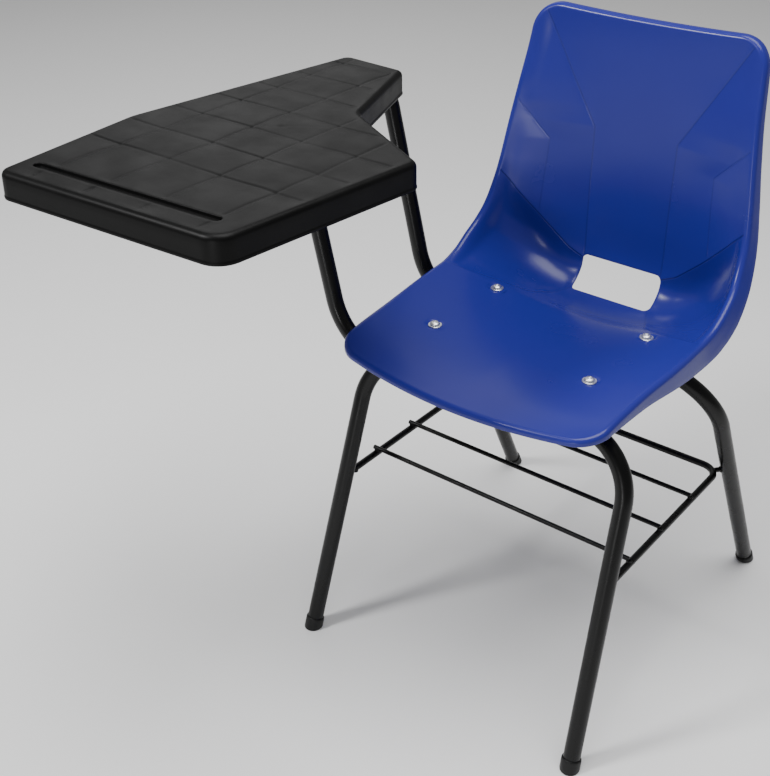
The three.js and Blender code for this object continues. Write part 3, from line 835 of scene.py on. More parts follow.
@dataclass
class Workshop:
    """What every sub-assembly needs: the node shapes and the chair's own reference places."""

    shapes: NodeShapes = field(default_factory=NodeShapes)
    bolt_front_y: float = -121.0

    def __post_init__(self) -> None:
        """Reads the reference places from the fixed frame, in millimetres."""
        shell_low, shell_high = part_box("seat_shell")
        bolt_low, bolt_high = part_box("seat_bolt_front_left")
        centre_x = (shell_low.x + shell_high.x) / 2 / MM
        centre_y = (bolt_low.y + bolt_high.y) / 2 / MM - self.bolt_front_y
        self.origin = Vector((centre_x, centre_y, 0))
        self.rail_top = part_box("seat_rail_left")[1].z / MM
        self.cross_height = self.rail_top - 33.6
        self.tube_radius = 11.1

    def place(self, x: float, y: float, z: float) -> Vector:
        """Turns a place measured from the middle of the feet into the row frame."""
        return self.origin + Vector((x, y, z))

    def finish_piece(
        self, piece: bpy.types.Object, finish: Finish, slot: str, replaces: list[str] | None = None
    ) -> None:
        """Dresses a piece, rides it on the chair and hides the CAD nodes that it stands for.

        Args:
            piece: The piece.
            finish: Its finish.
            slot: A material slot's name; not used.
            replaces: The CAD nodes that it stands for.
        """
        piece.data.materials.clear()
        piece.data.materials.append(finish.material())
        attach(piece, "root")
        if replaces:
            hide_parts(*replaces)
        triangles = sum(len(p.vertices) - 2 for p in piece.data.polygons)
        log.info("%s: %d triangles, %s", piece.name, triangles, finish.name)

    def bar(
        self,
        name: str,
        routes: list[list[Vector]],
        radius: float,
        replaces: list[str] | None,
        sides: int = 32,
    ) -> bpy.types.Object:
        """Makes powder-coated round bars along routes.

        Args:
            name: The piece's name.
            routes: Centre lines, in millimetres.
            radius: The bar's radius.
            replaces: The CAD nodes that it stands for.
            sides: Faces round the bar.

        Returns:
            The piece.
        """
        piece = line_piece(name, routes)
        given = {"Radius": radius * MM, "Sides": sides, "Material": POWDER_COAT.material()}
        run_tree(piece, self.shapes.bar, given)
        self.finish_piece(piece, POWDER_COAT, STEEL_SLOT, replaces)
        return piece

    def beads(self, name: str, places: list[tuple[Vector, Vector]], ring: float, bead: float) -> None:
        """Lays weld beads round the given places.

        Args:
            name: The piece's name.
            places: Point and direction of each bead's axis.
            ring: The ring's radius, in millimetres.
            bead: The bead's own radius.
        """
        piece = point_piece(name, places)
        given = {
            "Ring Radius": ring * MM,
            "Bead Radius": bead * MM,
            "Ripple": bead * 0.7 * MM,
            "Material": POWDER_COAT.material(),
        }
        run_tree(piece, self.shapes.bead, given, 80)
        self.finish_piece(piece, POWDER_COAT, STEEL_SLOT)

    def spread(
        self,
        name: str,
        profile: list[tuple[float, float]],
        places: list[tuple[Vector, Vector]],
        finish: Finish,
        slot: str,
        replaces: list[str],
    ) -> None:
        """Sets one turned shape on several places.

        Args:
            name: The piece's name.
            profile: The turned shape, in millimetres.
            places: Point and direction of each.
            finish: The finish.
            slot: A material slot's name, handed on to finish_piece.
            replaces: The CAD nodes that they stand for.
        """
        template = turned(name + "_shape", profile)
        piece = point_piece(name, places)
        run_tree(piece, self.shapes.spread, {"Shape": template, "Material": finish.material()}, 35)
        bpy.data.objects.remove(template)
        self.finish_piece(piece, finish, slot, replaces)


# ---------------------------------------------------------------- seat shell


@dataclass(frozen=True)
class Station:
    """One cross-section of the shell: places of its middle and edge, its rim and its wings."""

    middle: tuple[float, float]
    edge: tuple[float, float, float]
    rim: float
    wing: float


SHELL_STATIONS = (
    Station((-247, 0.5), (8, -229, 10), 8, 2),
    Station((-200, 2.5), (7, -195, 17), 11, 1.8),
    Station((-121, 2.5), (5, -121, 23.5), 18, 1.6),
    Station((-55, 0), (1, -58, 27), 26, 1.6),
    Station((0, -5.5), (0, -18, 29.5), 30, 1.6),
    Station((50, -12), (0, 12, 32), 32, 1.6),
    Station((98, -24), (0, 42, 40), 32, 2),
    Station((133, -17), (1, 66, 53), 31, 3.2),
    Station((154, 4), (3, 87, 67), 27, 4.4),
    Station((161.5, 30), (6, 104, 88), 25, 4.6),
    Station((161, 88), (8, 117, 118), 22, 3.6),
    Station((160, 148), (11, 123.5, 150), 20, 2.6),
    Station((160, 207), (18, 130, 205), 17, 2.2),
    Station((160.5, 260), (25, 138, 258), 15, 2.2),
    Station((161, 305.5), (30, 148, 306.5), 13, 2.2),
    Station((161.5, 352), (34, 156, 357), 11, 2),
)


@dataclass
class SeatShell:
    """The one-piece seat and back: a thin moulding with folded panels and a turned-down rim."""

    shop: Workshop
    stations: tuple[Station, ...] = SHELL_STATIONS
    half_width: float = 188.0
    wall: float = 3.6
    fold: float = 6.0
    rim_tuck: float = 2.0
    front_corner: float = 26.0
    top_corner: float = 32.0
    columns: int = 148
    rows: int = 236
    corner_rows: int = 12
    straight_zone: float = 72.0
    hole_size: tuple[float, float] = (120.0, 50.0)
    hole_corner: float = 9.0
    hole_middle: tuple[float, float] = (148.5, 1.5)
    hole_tilt: float = 54.0
    inner_fold_slope: float = 0.22
    outer_fold_slope: float = 0.17
    fold_softness: float = 1.9
    edge_blend: float = 24.0
    scoop_depth: float = 3.4
    scoop_entry: float = 6.5
    bolt_x: float = 113.0
    bolt_ys: tuple[float, float] = (-121.0, 22.5)
    # heights of the lower border of the back panels, by distance from the centre line
    panel_border: tuple = (
        *((0, 471), (59, 471), (84, 484), (100, 499)),
        *((121, 519), (143, 543), (182, 588), (210, 620)),
    )
    # places of the rear border of the flat seat, by distance from the centre line
    seat_border: tuple = ((0, 133), (60, 133), (66, 116), (88, 66), (146, 28), (187, 8), (210, -2))
    # distance of the two folds of the back from the centre line, by height
    inner_fold: tuple = ((400, 59), (662, 60), (805, 144), (840, 165))
    outer_fold: tuple = (
        *((400, 136), (546, 126), (600, 122), (636, 120)),
        *((685, 166), (712, 192), (850, 330)),
    )

    def __post_init__(self) -> None:
        """Works out the guide curves."""
        top = self.shop.rail_top
        self.middles = np.array([(0, s.middle[0], top + s.middle[1]) for s in self.stations], float)
        self.edges = np.array(
            [(self.half_width - s.edge[0], s.edge[1], top + s.edge[2]) for s in self.stations], float
        )
        self.across_panel = self._softened(self.panel_border, 0, 210)
        self.across_seat = self._softened(self.seat_border, 0, 210)

    @staticmethod
    def _softened(
        knots: tuple, low: float, high: float
    ) -> tuple[np.ndarray, np.ndarray, np.ndarray]:
        """Rounds a line of knots.

        Args:
            knots: Place and value pairs.
            low: The first place.
            high: The last place.

        Returns:
            Places, rounded values and slopes.
        """
        places = np.arange(low, high + 1, 1.0)
        table = np.array(knots, float)
        values = np.interp(places, table[:, 0], table[:, 1])
        width = 9
        padded = np.concatenate([np.full(width, values[0]), values, np.full(width, values[-1])])
        kernel = np.hanning(2 * width + 1)
        rounded = np.convolve(padded, kernel / kernel.sum(), mode="valid")
        return places, rounded, np.gradient(rounded)

    @staticmethod
    def _curve(points: np.ndarray, along: np.ndarray) -> np.ndarray:
        """Follows the centripetal curve through points.

        Args:
            points: The knots.
            along: Places from 0 to 1.

        Returns:
            A point for each place.
        """
        place = np.clip(along, 0, 1) * (len(points) - 1)
        i = np.minimum(place.astype(int), len(points) - 2)
        w = (place - i)[:, None]
        full = np.vstack([2 * points[0] - points[1], points, 2 * points[-1] - points[-2]])
        a, b, c, d = full[i], full[i + 1], full[i + 2], full[i + 3]
        pairs = ((a, b), (b, c), (c, d))
        t0, t1, t2 = (np.sqrt(np.linalg.norm(q - p, axis=1))[:, None] for p, q in pairs)
        go = ((b - a) / t0 - (c - a) / (t0 + t1) + (c - b) / t1) * t1
        come = ((c - b) / t1 - (d - b) / (t1 + t2) + (d - c) / t2) * t1
        bow = (3 * c - 3 * b - 2 * go - come) * w**2
        return b + go * w + bow + (2 * b - 2 * c + go + come) * w**3

    def _station_value(self, along: np.ndarray, key: str) -> np.ndarray:
        """Reads a station field between the stations."""
        values = [getattr(s, key) for s in self.stations]
        return np.interp(np.clip(along, 0, 1) * (len(values) - 1), np.arange(len(values)), values)

    def _reach(self, along: np.ndarray) -> np.ndarray:
        """Half the face's width at each place, less inside the round corners."""
        edge = self._curve(self.edges, along)
        trims = np.zeros(len(edge))
        ends = ((0, self.front_corner, along < 0.5), (-1, self.top_corner, along > 0.5))
        for end, radius, here in ends:
            gone = np.linalg.norm(edge - self.edges[end], axis=1)
            inside = np.clip(radius - gone, 0, radius)
            trims += np.where(here, radius - np.sqrt(radius**2 - inside**2), 0)
        return edge[:, 0] - trims

    def _plain(self, x: np.ndarray, along: np.ndarray) -> np.ndarray:
        """The face before its folds and its scoop, at each sideways place and place along."""
        middle = self._curve(self.middles, along)
        edge = self._curve(self.edges, along)
        rise = (np.abs(x) / edge[:, 0]) ** self._station_value(along, "wing")
        y = middle[:, 1] + (edge[:, 1] - middle[:, 1]) * rise
        z = middle[:, 2] + (edge[:, 2] - middle[:, 2]) * rise
        rest = middle[:, 1] - edge[:, 1] - self._fold_drop(edge[:, 0], edge[:, 2])
        panel = middle[:, 1] - self._fold_drop(x, z) - rest * rise
        below = self._below_panel(x, z)
        share = np.where(along > 0.45, np.exp(-((np.clip(below, 0, 200) / 20) ** 2)), 0)
        share *= smooth_step(0, self.edge_blend, edge[:, 0] - np.abs(x))
        y = y + (panel - y) * share
        return np.stack([x, y, z], axis=1)

    def _fold_drop(self, x: np.ndarray, z: np.ndarray) -> np.ndarray:
        """How far the folded panels stand in front of the flat middle of the back."""
        drop = np.zeros(len(x))
        inner = (self.inner_fold, self.inner_fold_slope)
        outer = (self.outer_fold, self.outer_fold_slope)
        for knots, slope in (inner, outer):
            table = np.array(knots, float)
            beyond = (np.abs(x) - np.interp(z, table[:, 0], table[:, 1])) / self.fold_softness
            drop += slope * self.fold_softness * np.logaddexp(0, beyond)
        return drop

    def _below_panel(self, x: np.ndarray, z: np.ndarray) -> np.ndarray:
        """Distance below the panels' lower border, square to it."""
        places, heights, slopes = self.across_panel
        side = np.abs(x)
        return (np.interp(side, places, heights) - z) / np.hypot(1, np.interp(side, places, slopes))

    def _behind_seat(self, x: np.ndarray, y: np.ndarray) -> np.ndarray:
        """Distance behind the flat seat's rear border, square to it."""
        places, rears, slopes = self.across_seat
        side = np.abs(x)
        return (y - np.interp(side, places, rears)) / np.hypot(1, np.interp(side, places, slopes))

    def _facing(self, x: np.ndarray, along: np.ndarray, surface: Callable) -> np.ndarray:
        """The unit normals of a surface, towards the sitter.

        Args:
            x: Sideways places.
            along: Places along.
            surface: The surface as a function of both.

        Returns:
            One normal for each place.
        """
        step, stride = 0.4, 0.0007
        sideways = surface(x + step, along) - surface(x - step, along)
        after, before = (np.clip(along + shift, 0, 1) for shift in (stride, -stride))
        lengthways = surface(x, after) - surface(x, before)
        return unit(np.cross(sideways, lengthways))

    def face(self, x: np.ndarray, along: np.ndarray) -> np.ndarray:
        """The finished face that the sitter touches.

        Args:
            x: Sideways places from the centre line, in millimetres.
            along: Places from the front lip, 0, to the top, 1.

        Returns:
            A point for each place.
        """
        plain = self._plain(x, along)
        facing = self._facing(x, along, self._plain)
        inside = np.minimum(self._below_panel(x, plain[:, 2]), self._behind_seat(x, plain[:, 1]))
        depth = self.scoop_depth * (1 - np.exp(-np.clip(inside, 0, 300) / self.scoop_entry))
        depth *= smooth_step(1.5, 14, self._reach(along) - np.abs(x))
        made = plain - facing * depth[:, None]
        for side in (-1, 1):
            for bolt_y in self.bolt_ys:
                away = np.hypot(x - side * self.bolt_x, made[:, 1] - bolt_y)
                share = (1 - smooth_step(9.8, 12.6, away)) * (along < 0.5)
                made[:, 2] += (self.spot_height(side * self.bolt_x, bolt_y) - made[:, 2]) * share
        return made

    def spot_height(self, x: float, y: float) -> float:
        """Height of the spot face under a seat bolt's washer, in millimetres."""
        label = ("front" if y < 0 else "rear") + ("_left" if x > 0 else "_right")
        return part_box("seat_washer_" + label)[0].z / MM - 0.3

    def _row_places(self) -> np.ndarray:
        """Places of the rows along, close together round the corners."""
        fine = np.linspace(0, 1, 4001)
        edge = self._curve(self.edges, fine)
        from_front = np.linalg.norm(edge - self.edges[0], axis=1)
        from_top = np.linalg.norm(edge - self.edges[-1], axis=1)
        angles = np.linspace(0, math.pi / 2, self.corner_rows + 1)
        turned_in = 1 - np.cos(angles)
        first = np.interp(self.front_corner * turned_in, from_front[:1200], fine[:1200])
        last = np.interp(self.top_corner * turned_in, from_top[::-1][:1200], fine[::-1][:1200])
        length = np.zeros(len(fine))
        for curve in (self._curve(self.middles, fine), edge):
            length[1:] += np.cumsum(np.linalg.norm(np.diff(curve, axis=0), axis=1))
        start, end = np.interp([first[-1], last[-1]], fine, length)
        between = np.interp(np.linspace(start, end, self.rows), length, fine)
        return np.concatenate([first[:-1], between, last[::-1][1:]])

    def _columns_at(self, reach: np.ndarray) -> np.ndarray:
        """Sideways places of the columns for each row: fixed in the middle, spread outside it."""
        share = np.linspace(-1, 1, self.columns + 1)[None, :]
        zone = self.straight_zone / self.half_width
        inner = share / zone * self.straight_zone
        spread = (np.abs(share) - zone) / (1 - zone)
        beyond = spread * (reach[:, None] - self.straight_zone)
        outer = np.sign(share) * (self.straight_zone + beyond)
        return np.where(np.abs(share) <= zone, inner, outer)

    def _hole_offset(self, points: np.ndarray) -> np.ndarray:
        """Places in the hole's own plane: sideways and up the slope."""
        tilt = math.radians(self.hole_tilt)
        y = points[:, 1] - self.hole_middle[0]
        z = points[:, 2] - self.shop.rail_top - self.hole_middle[1]
        return np.stack([points[:, 0], y * math.cos(tilt) + z * math.sin(tilt)], axis=1)

    def _hole_depth(self, flat: np.ndarray) -> np.ndarray:
        """Signed distance from the hole's outline, negative inside it."""
        half = np.array(self.hole_size) / 2 + self.wall / 2
        away = np.abs(flat) - (half - self.hole_corner)
        return (
            np.linalg.norm(np.clip(away, 0, None), axis=1)
            + np.minimum(away.max(axis=1), 0)
            - self.hole_corner
        )

    def _onto_hole(self, x: np.ndarray, along: np.ndarray) -> tuple[np.ndarray, np.ndarray]:
        """Moves places near the hole onto its outline.

        Args:
            x: Sideways places.
            along: Places along.

        Returns:
            The moved sideways places and places along.
        """
        step, stride = 0.3, 0.0004
        for _ in range(6):
            flat = self._hole_offset(self.face(x, along))
            depth = self._hole_depth(flat)
            slope_x = self._hole_depth(flat + [step, 0]) - self._hole_depth(flat - [step, 0])
            slope_q = self._hole_depth(flat + [0, step]) - self._hole_depth(flat - [0, step])
            push = np.stack([slope_x, slope_q], axis=1) / (2 * step)
            push /= np.maximum((push**2).sum(axis=1, keepdims=True), 0.25)
            ahead = self._hole_offset(self.face(x, along + stride))[:, 1]
            pace = (ahead - flat[:, 1]) / stride
            x = x - depth * push[:, 0]
            along = along - depth * push[:, 1] / pace
        return x, along

    def _sheet(self) -> tuple[np.ndarray, np.ndarray, list, list, list, np.ndarray]:
        """The face as a grid with the hole left out.

        Returns:
            Points, normals, faces, the outer border, the hole's border and places along.
        """
        rows = self._row_places()
        across = self._columns_at(self._reach(rows))
        count_rows, count_columns = across.shape
        x, along = across.ravel(), np.repeat(rows, count_columns)
        points = self.face(x, along)
        number = np.arange(len(x)).reshape(count_rows, count_columns)
        corners = (number[:-1, :-1], number[:-1, 1:], number[1:, 1:], number[1:, :-1])
        quads = np.stack([c.ravel() for c in corners], axis=1)
        middles = points[quads].mean(axis=1)
        near = (along[quads].mean(axis=1) > 0.38) & (along[quads].mean(axis=1) < 0.66)
        kept = ~(near & (self._hole_depth(self._hole_offset(middles)) < 0))
        faces = quads[kept].tolist()
        outer, hole = border_loops(faces)[:2]
        moved_x, moved_along = self._onto_hole(x[hole], along[hole])
        x[hole], along[hole] = moved_x, moved_along
        points[hole] = self.face(moved_x, moved_along)
        return points, self._facing(x, along, self.face), faces, outer, hole, along

    def _rim(self, points: np.ndarray, normals: np.ndarray, outer: list, along: np.ndarray) -> list:
        """Rings that fold over the outer border and turn down.

        Args:
            points: The face's points.
            normals: Their normals.
            outer: The outer border.
            along: Places along, for every point.

        Returns:
            Points and normals for each ring, from the face to the free edge.
        """
        start, normal = points[outer], normals[outer]
        ahead = unit(np.roll(start, -1, axis=0) - np.roll(start, 1, axis=0))
        outward = unit(np.cross(ahead, normal))
        place = along[outer]
        back = self._facing(np.zeros(len(outer)), place, self._plain)
        facing = unit(back * self.rim_tuck + normal)
        turn = np.arctan2((facing * normal).sum(axis=1), -(facing * outward).sum(axis=1))
        for _ in range(6):
            turn = (np.roll(turn, 1) + turn * 2 + np.roll(turn, -1)) / 4
        depth = self._station_value(place, "rim") - self.fold

        def looking(angle: np.ndarray) -> np.ndarray:
            """The direction that the fold faces after turning by an angle."""
            return outward * np.sin(angle)[:, None] + normal * np.cos(angle)[:, None]

        rings = []
        for share in (0.12, 0.26, 0.42, 0.58, 0.74, 0.88, 1.0):
            angle = turn * share
            over = outward * np.sin(angle)[:, None] + normal * (np.cos(angle) - 1)[:, None]
            rings.append((start + over * self.fold, looking(angle)))
        last, face = rings[-1]
        down = looking(turn + math.pi / 2)
        for share in (0.3, 0.65, 1.0):
            rings.append((last + down * (depth * share)[:, None], face))
        return rings

    def _rounded_end(
        self, loop: list, other: list, away: np.ndarray, points: list, faces: list
    ) -> None:
        """Joins the front and back surfaces round a free edge.

        Args:
            loop: The front surface's border.
            other: The back surface's border.
            away: The direction out of the material at each point.
            points: All points so far, extended here.
            faces: All faces so far, extended here.
        """
        front, back = np.array([points[i] for i in loop]), np.array([points[i] for i in other])
        middle, half = (front + back) / 2, (front - back) / 2
        inner = loop
        for angle in (30, 60, 90, 120, 150):
            turn = math.radians(angle)
            ring = middle + half * math.cos(turn) + away * (self.wall / 2 * math.sin(turn))
            outer = list(range(len(points), len(points) + len(loop)))
            points.extend(ring)
            faces.extend(ring_faces(inner, outer))
            inner = outer
        faces.extend(ring_faces(inner, other))

    def _boss_posts(self, points: list, faces: list) -> None:
        """Adds the four hollow posts that stand on the seat rails.

        Args:
            points: All points so far, extended here.
            faces: All faces so far, extended here.
        """
        sides = 32
        top = self.shop.rail_top
        for side in (-1, 1):
            for bolt_y in self.bolt_ys:
                high = self.spot_height(side * self.bolt_x, bolt_y) - 1.2
                profile = (
                    *((3.6, high), (3.6, top + 1.6), (8, top + 1.6), (8.5, top + 2.1)),
                    *((8.5, high - 4), (10.5, high - 1.6), (13, high)),
                )
                rings = []
                for radius, height in profile:
                    rings.append(list(range(len(points), len(points) + sides)))
                    for k in range(sides):
                        angle = 2 * math.pi * k / sides
                        x = side * self.bolt_x + radius * math.cos(angle)
                        points.append(np.array([x, bolt_y + radius * math.sin(angle), height]))
                rings.append(rings[0])
                for low, up in zip(rings, rings[1:]):
                    faces.extend(wall_faces(low, up))

    def _line_distances(self, points: np.ndarray) -> np.ndarray:
        """Signed distances of face points from the lines where the shell folds.

        Args:
            points: Points of the face.

        Returns:
            Distances from the inner fold, the outer fold, the panels' border and the seat's border.
        """
        x, y, z = points.T
        found = []
        for knots in (self.inner_fold, self.outer_fold):
            table = np.array(knots, float)
            near = np.interp(z, table[:, 0], table[:, 1])
            slope = (np.interp(z + 1, table[:, 0], table[:, 1]) - near)
            found.append((np.abs(x) - near) / np.hypot(1, slope))
        found += [self._below_panel(x, z), self._behind_seat(x, y)]
        return np.stack(found, axis=1)

    def _mark_lines(
        self, piece: bpy.types.Object, distances: np.ndarray, rings: int, outer: list
    ) -> None:
        """Stores the fold distances on the mesh, for the finish to draw the fold lines as grooves with
        painted shade.

        Args:
            piece: The shell.
            distances: The four distances of each face point.
            rings: How many rings of the rim follow the face points.
            outer: The face's outer border.
        """
        face = np.hstack([distances, np.ones((len(distances), 1))])
        rim = np.tile(np.hstack([distances[outer], np.zeros((len(outer), 1))]), (rings, 1))
        front = np.vstack([face, rim])
        whole = np.zeros((len(piece.data.vertices), 6))
        whole[: len(front), :5] = front
        whole[len(front) : 2 * len(front), :5] = front
        for name, columns in (("folds", [0, 1, 2]), ("borders", [3, 4, 5])):
            layer = piece.data.attributes.new(name, "FLOAT_VECTOR", "POINT")
            layer.data.foreach_set("vector", whole[:, columns].astype(np.float32).ravel())

    def build(self) -> None:
        """Builds the shell and its fasteners."""
        grid, normals, faces, outer, hole, along = self._sheet()
        points, facings = list(grid), list(normals)
        inner = outer
        rings = self._rim(grid, normals, outer, along)
        for ring, ring_normals in rings:
            ring_numbers = list(range(len(points), len(points) + len(outer)))
            points.extend(ring)
            facings.extend(ring_normals)
            faces.extend(ring_faces(inner, ring_numbers))
            inner = ring_numbers
        front, backward = np.array(points), np.array(facings)
        count = len(front)
        behind = front - backward * self.wall
        points.extend(behind)
        faces.extend([[i + count for i in reversed(face)] for face in list(faces)])
        down = unit(rings[-1][0] - rings[-2][0])
        self._rounded_end(inner, [i + count for i in inner], down, points, faces)
        hole_points = front[hole]
        ahead = unit(np.roll(hole_points, -1, axis=0) - np.roll(hole_points, 1, axis=0))
        into = unit(np.cross(ahead, backward[hole]))
        self._rounded_end(hole, [i + count for i in hole], into, points, faces)
        self._boss_posts(points, faces)
        shift = np.array(self.shop.origin)
        piece = mesh_piece("shell", np.array(points) + shift, faces, 50)
        self._mark_lines(piece, self._line_distances(grid), len(rings), outer)
        self.shop.finish_piece(piece, BLUE_POLYPROPYLENE, SHELL_SLOT, ["seat_shell"])
        self._fasteners()

    def _fasteners(self) -> None:
        """Sets the bolts with their washers, and the rivet nuts under them."""
        up = Vector((0, 0, 1))
        labels = ["front_left", "front_right", "rear_left", "rear_right"]
        washers, bolts, nuts_under = (
            [f"{kind}_{label}" for label in labels]
            for kind in ("seat_washer", "seat_bolt", "rivet_nut")
        )
        seats = []
        for node in washers:
            middle = box_middle(node)
            seats.append((Vector((middle.x, middle.y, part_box(node)[0].z / MM)), up))
        washer = [(3.4, 0), (8.4, 0), (9, 0.25), (9, 0.85), (8.6, 1.2), (3.4, 1.2), (3.4, 0)]
        self.shop.spread("seat_washers", washer, seats, ZINC_PLATE, ZINC_SLOT, washers)
        head = [
            *((0, -18), (2.4, -18), (3, -17.2), (3, 1.5), (6.1, 1.5), (6.5, 1.9)),
            *((6.45, 2.5), (6.0, 3.3), (5.1, 4.1), (3.9, 4.6), (2.6, 4.85), (2.3, 4.8)),
            *((2.05, 4.5), (2.0, 3.2), (1.4, 2.8), (0, 2.7)),
        ]
        self.shop.spread("seat_bolts", head, seats, ZINC_PLATE, ZINC_SLOT, bolts)
        nuts = []
        for node in nuts_under:
            middle = box_middle(node)
            nuts.append((Vector((middle.x, middle.y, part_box(node)[1].z / MM)), up))
        nut = [(3.3, -13.5), (4.1, -14), (4.5, -13.5), (4.5, -9), (5.0, -7.5), (5.0, -5.8), (4.5, -4.5)]
        nut += [(4.5, -1), (6.2, -1), (6.5, -0.7), (6.5, -0.3), (6.1, 0), (3.3, 0), (3.3, -13.5)]
        self.shop.spread("rivet_nuts", nut, nuts, ZINC_PLATE, ZINC_SLOT, nuts_under)


# ---------------------------------------------------------------- leg frames


@dataclass(frozen=True)
class LegPair:
    """The two legs of one bent tube, from the floor up, measured from the middle of the feet."""

    foot_x: float
    foot_y: float
    inward: float
    lean: float
    bend: float

    def axis_at(self, side: int, height: float) -> tuple[float, float, float]:
        """The leg's axis at a height."""
        x = side * (self.foot_x - self.inward * height)
        return (x, self.foot_y + self.lean * height, height)

    def direction(self, side: int) -> Vector:
        """The way up the leg."""
        return Vector((-side * self.inward, self.lean, 1)).normalized()


@dataclass
class LegFrames:
    """Both leg tubes, their foot caps and the seat rails with their plugs."""

    shop: Workshop
    front: LegPair = LegPair(213, -264.3, 0.047, 0.28, 80)
    rear: LegPair = LegPair(212, 264.3, 0.02, -0.54, 100)
    leg_start: float = 9.0
    cap_radius: float = 12.8
    cap_height: float = 17.0
    rail_front: float = -190.0
    rail_rear: float = 46.0
    rail_x: float = 113.0

    def build(self) -> None:
        """Builds the tubes, caps, rails, plugs and welds."""
        for label, legs in (("front", self.front), ("rear", self.rear)):
            corners = []
            for side in (1, -1):
                foot = self.shop.place(*legs.axis_at(side, 0))
                low = foot + legs.direction(side) * self.leg_start
                high = self.shop.place(*legs.axis_at(side, self.shop.cross_height))
                corners += [low, high] if side == 1 else [high, low]
            route = bent_route(corners, [legs.bend, legs.bend], 28)
            node = f"{label}_leg_frame"
            self.shop.bar(f"{label}_legs", [route], self.shop.tube_radius, [node], 40)
            for side, name in ((1, "left"), (-1, "right")):
                self._foot_cap(f"foot_{label}_{name}", legs, side, f"foot_cap_{label}_{name}")
        self._rails()

    def _foot_cap(self, name: str, legs: LegPair, side: int, node: str) -> None:
        """Builds one foot cap: a cup round the leg, standing flat on the floor.

        Args:
            name: The piece's name.
            legs: The pair of legs.
            side: 1 for the sitter's left, -1 for the right.
            node: The CAD node that it stands for.
        """
        sides = 48
        foot, up = self.shop.place(*legs.axis_at(side, 0)), legs.direction(side)
        turn = Vector((0, 0, 1)).rotation_difference(up)
        wide, high = self.cap_radius, self.cap_height
        bore = self.shop.tube_radius + 0.15
        # radius, height along the leg, or a level above the floor for the lowest rings
        rings = [(wide - 2.2, None, 0.0), (wide - 0.9, None, 0.25)]
        rings += [(wide - 0.2, None, 0.9), (wide, None, 2.0)]
        rings += [(wide, 9.0, None), (wide, high - 5.2, None), (wide + 0.02, high - 4.6, None)]
        rings += [(wide, high - 1.6, None), (wide - 0.3, high - 0.6, None), (wide - 0.9, high, None)]
        rings += [(bore, high, None), (bore, self.leg_start + 0.3, None)]
        points, faces, levels = [], [], []
        for radius, along, level in rings:
            levels.append(list(range(len(points), len(points) + sides)))
            for k in range(sides):
                angle = 2 * math.pi * k / sides
                spoke = turn @ Vector((radius * math.cos(angle), radius * math.sin(angle), 0))
                if level is None:
                    points.append(foot + spoke + up * along)
                else:
                    points.append(foot + spoke + up * ((level - spoke.z) / up.z))
        for low, above in zip(levels, levels[1:]):
            faces += wall_faces(low, above)
        faces += [list(reversed(levels[0])), levels[-1]]
        piece = mesh_piece(name, np.array([tuple(p) for p in points]), faces, 38)
        self.shop.finish_piece(piece, END_PLASTIC, END_SLOT, [node])

    def _rails(self) -> None:
        """Builds the seat rails, their end plugs and the welds that join them to the leg tubes."""
        height = self.shop.rail_top - self.shop.tube_radius
        plugs = []
        for side, name in ((1, "left"), (-1, "right")):
            reach = (self.rail_front, self.rail_rear)
            ends = [self.shop.place(side * self.rail_x, y, height) for y in reach]
            self.shop.bar(f"rail_{name}", [ends], self.shop.tube_radius, [f"seat_rail_{name}"], 40)
            plugs += [(ends[0], Vector((0, -1, 0))), (ends[1], Vector((0, 1, 0)))]
        ends, sides = ("front", "rear"), ("left", "right")
        nodes = [f"rail_plug_{end}_{name}" for end in ends for name in sides]
        self.shop.spread("rail_plugs", plug_profile(), plugs, END_PLASTIC, END_SLOT, nodes)
        self._rail_welds(height)

    def _rail_welds(self, height: float) -> None:
        """Lays the welds between the rails and the tubes that cross under them.

        Args:
            height: The rails' axis height.
        """
        radius = self.shop.tube_radius
        contact = height - radius - 0.15
        tubes = [
            self.front.axis_at(1, self.shop.cross_height)[1],
            self.rear.axis_at(1, self.shop.cross_height)[1],
        ]
        for label in ("front", "rear"):
            tubes.append(box_middle(f"tablet_support_{label}").y - self.shop.origin.y)
        places = [
            (self.shop.place(side * self.rail_x, y, contact), Vector((0, 0, 1)))
            for side in (-1, 1)
            for y in tubes
        ]
        self.shop.beads("rail_welds", places, 5.2, 2.2)


def plug_profile() -> list[tuple[float, float]]:
    """The turned shape of a tube plug, with its flange outside the tube's end."""
    stem = [(0, -9), (8.6, -9), (9.2, -7), (9.2, 0.1)]
    return [*stem, (11, 0.15), (11.1, 0.8), (10.7, 1.7), (9.6, 2.2), (6, 2.3), (0, 2.3)]


# ---------------------------------------------------------------- book rack


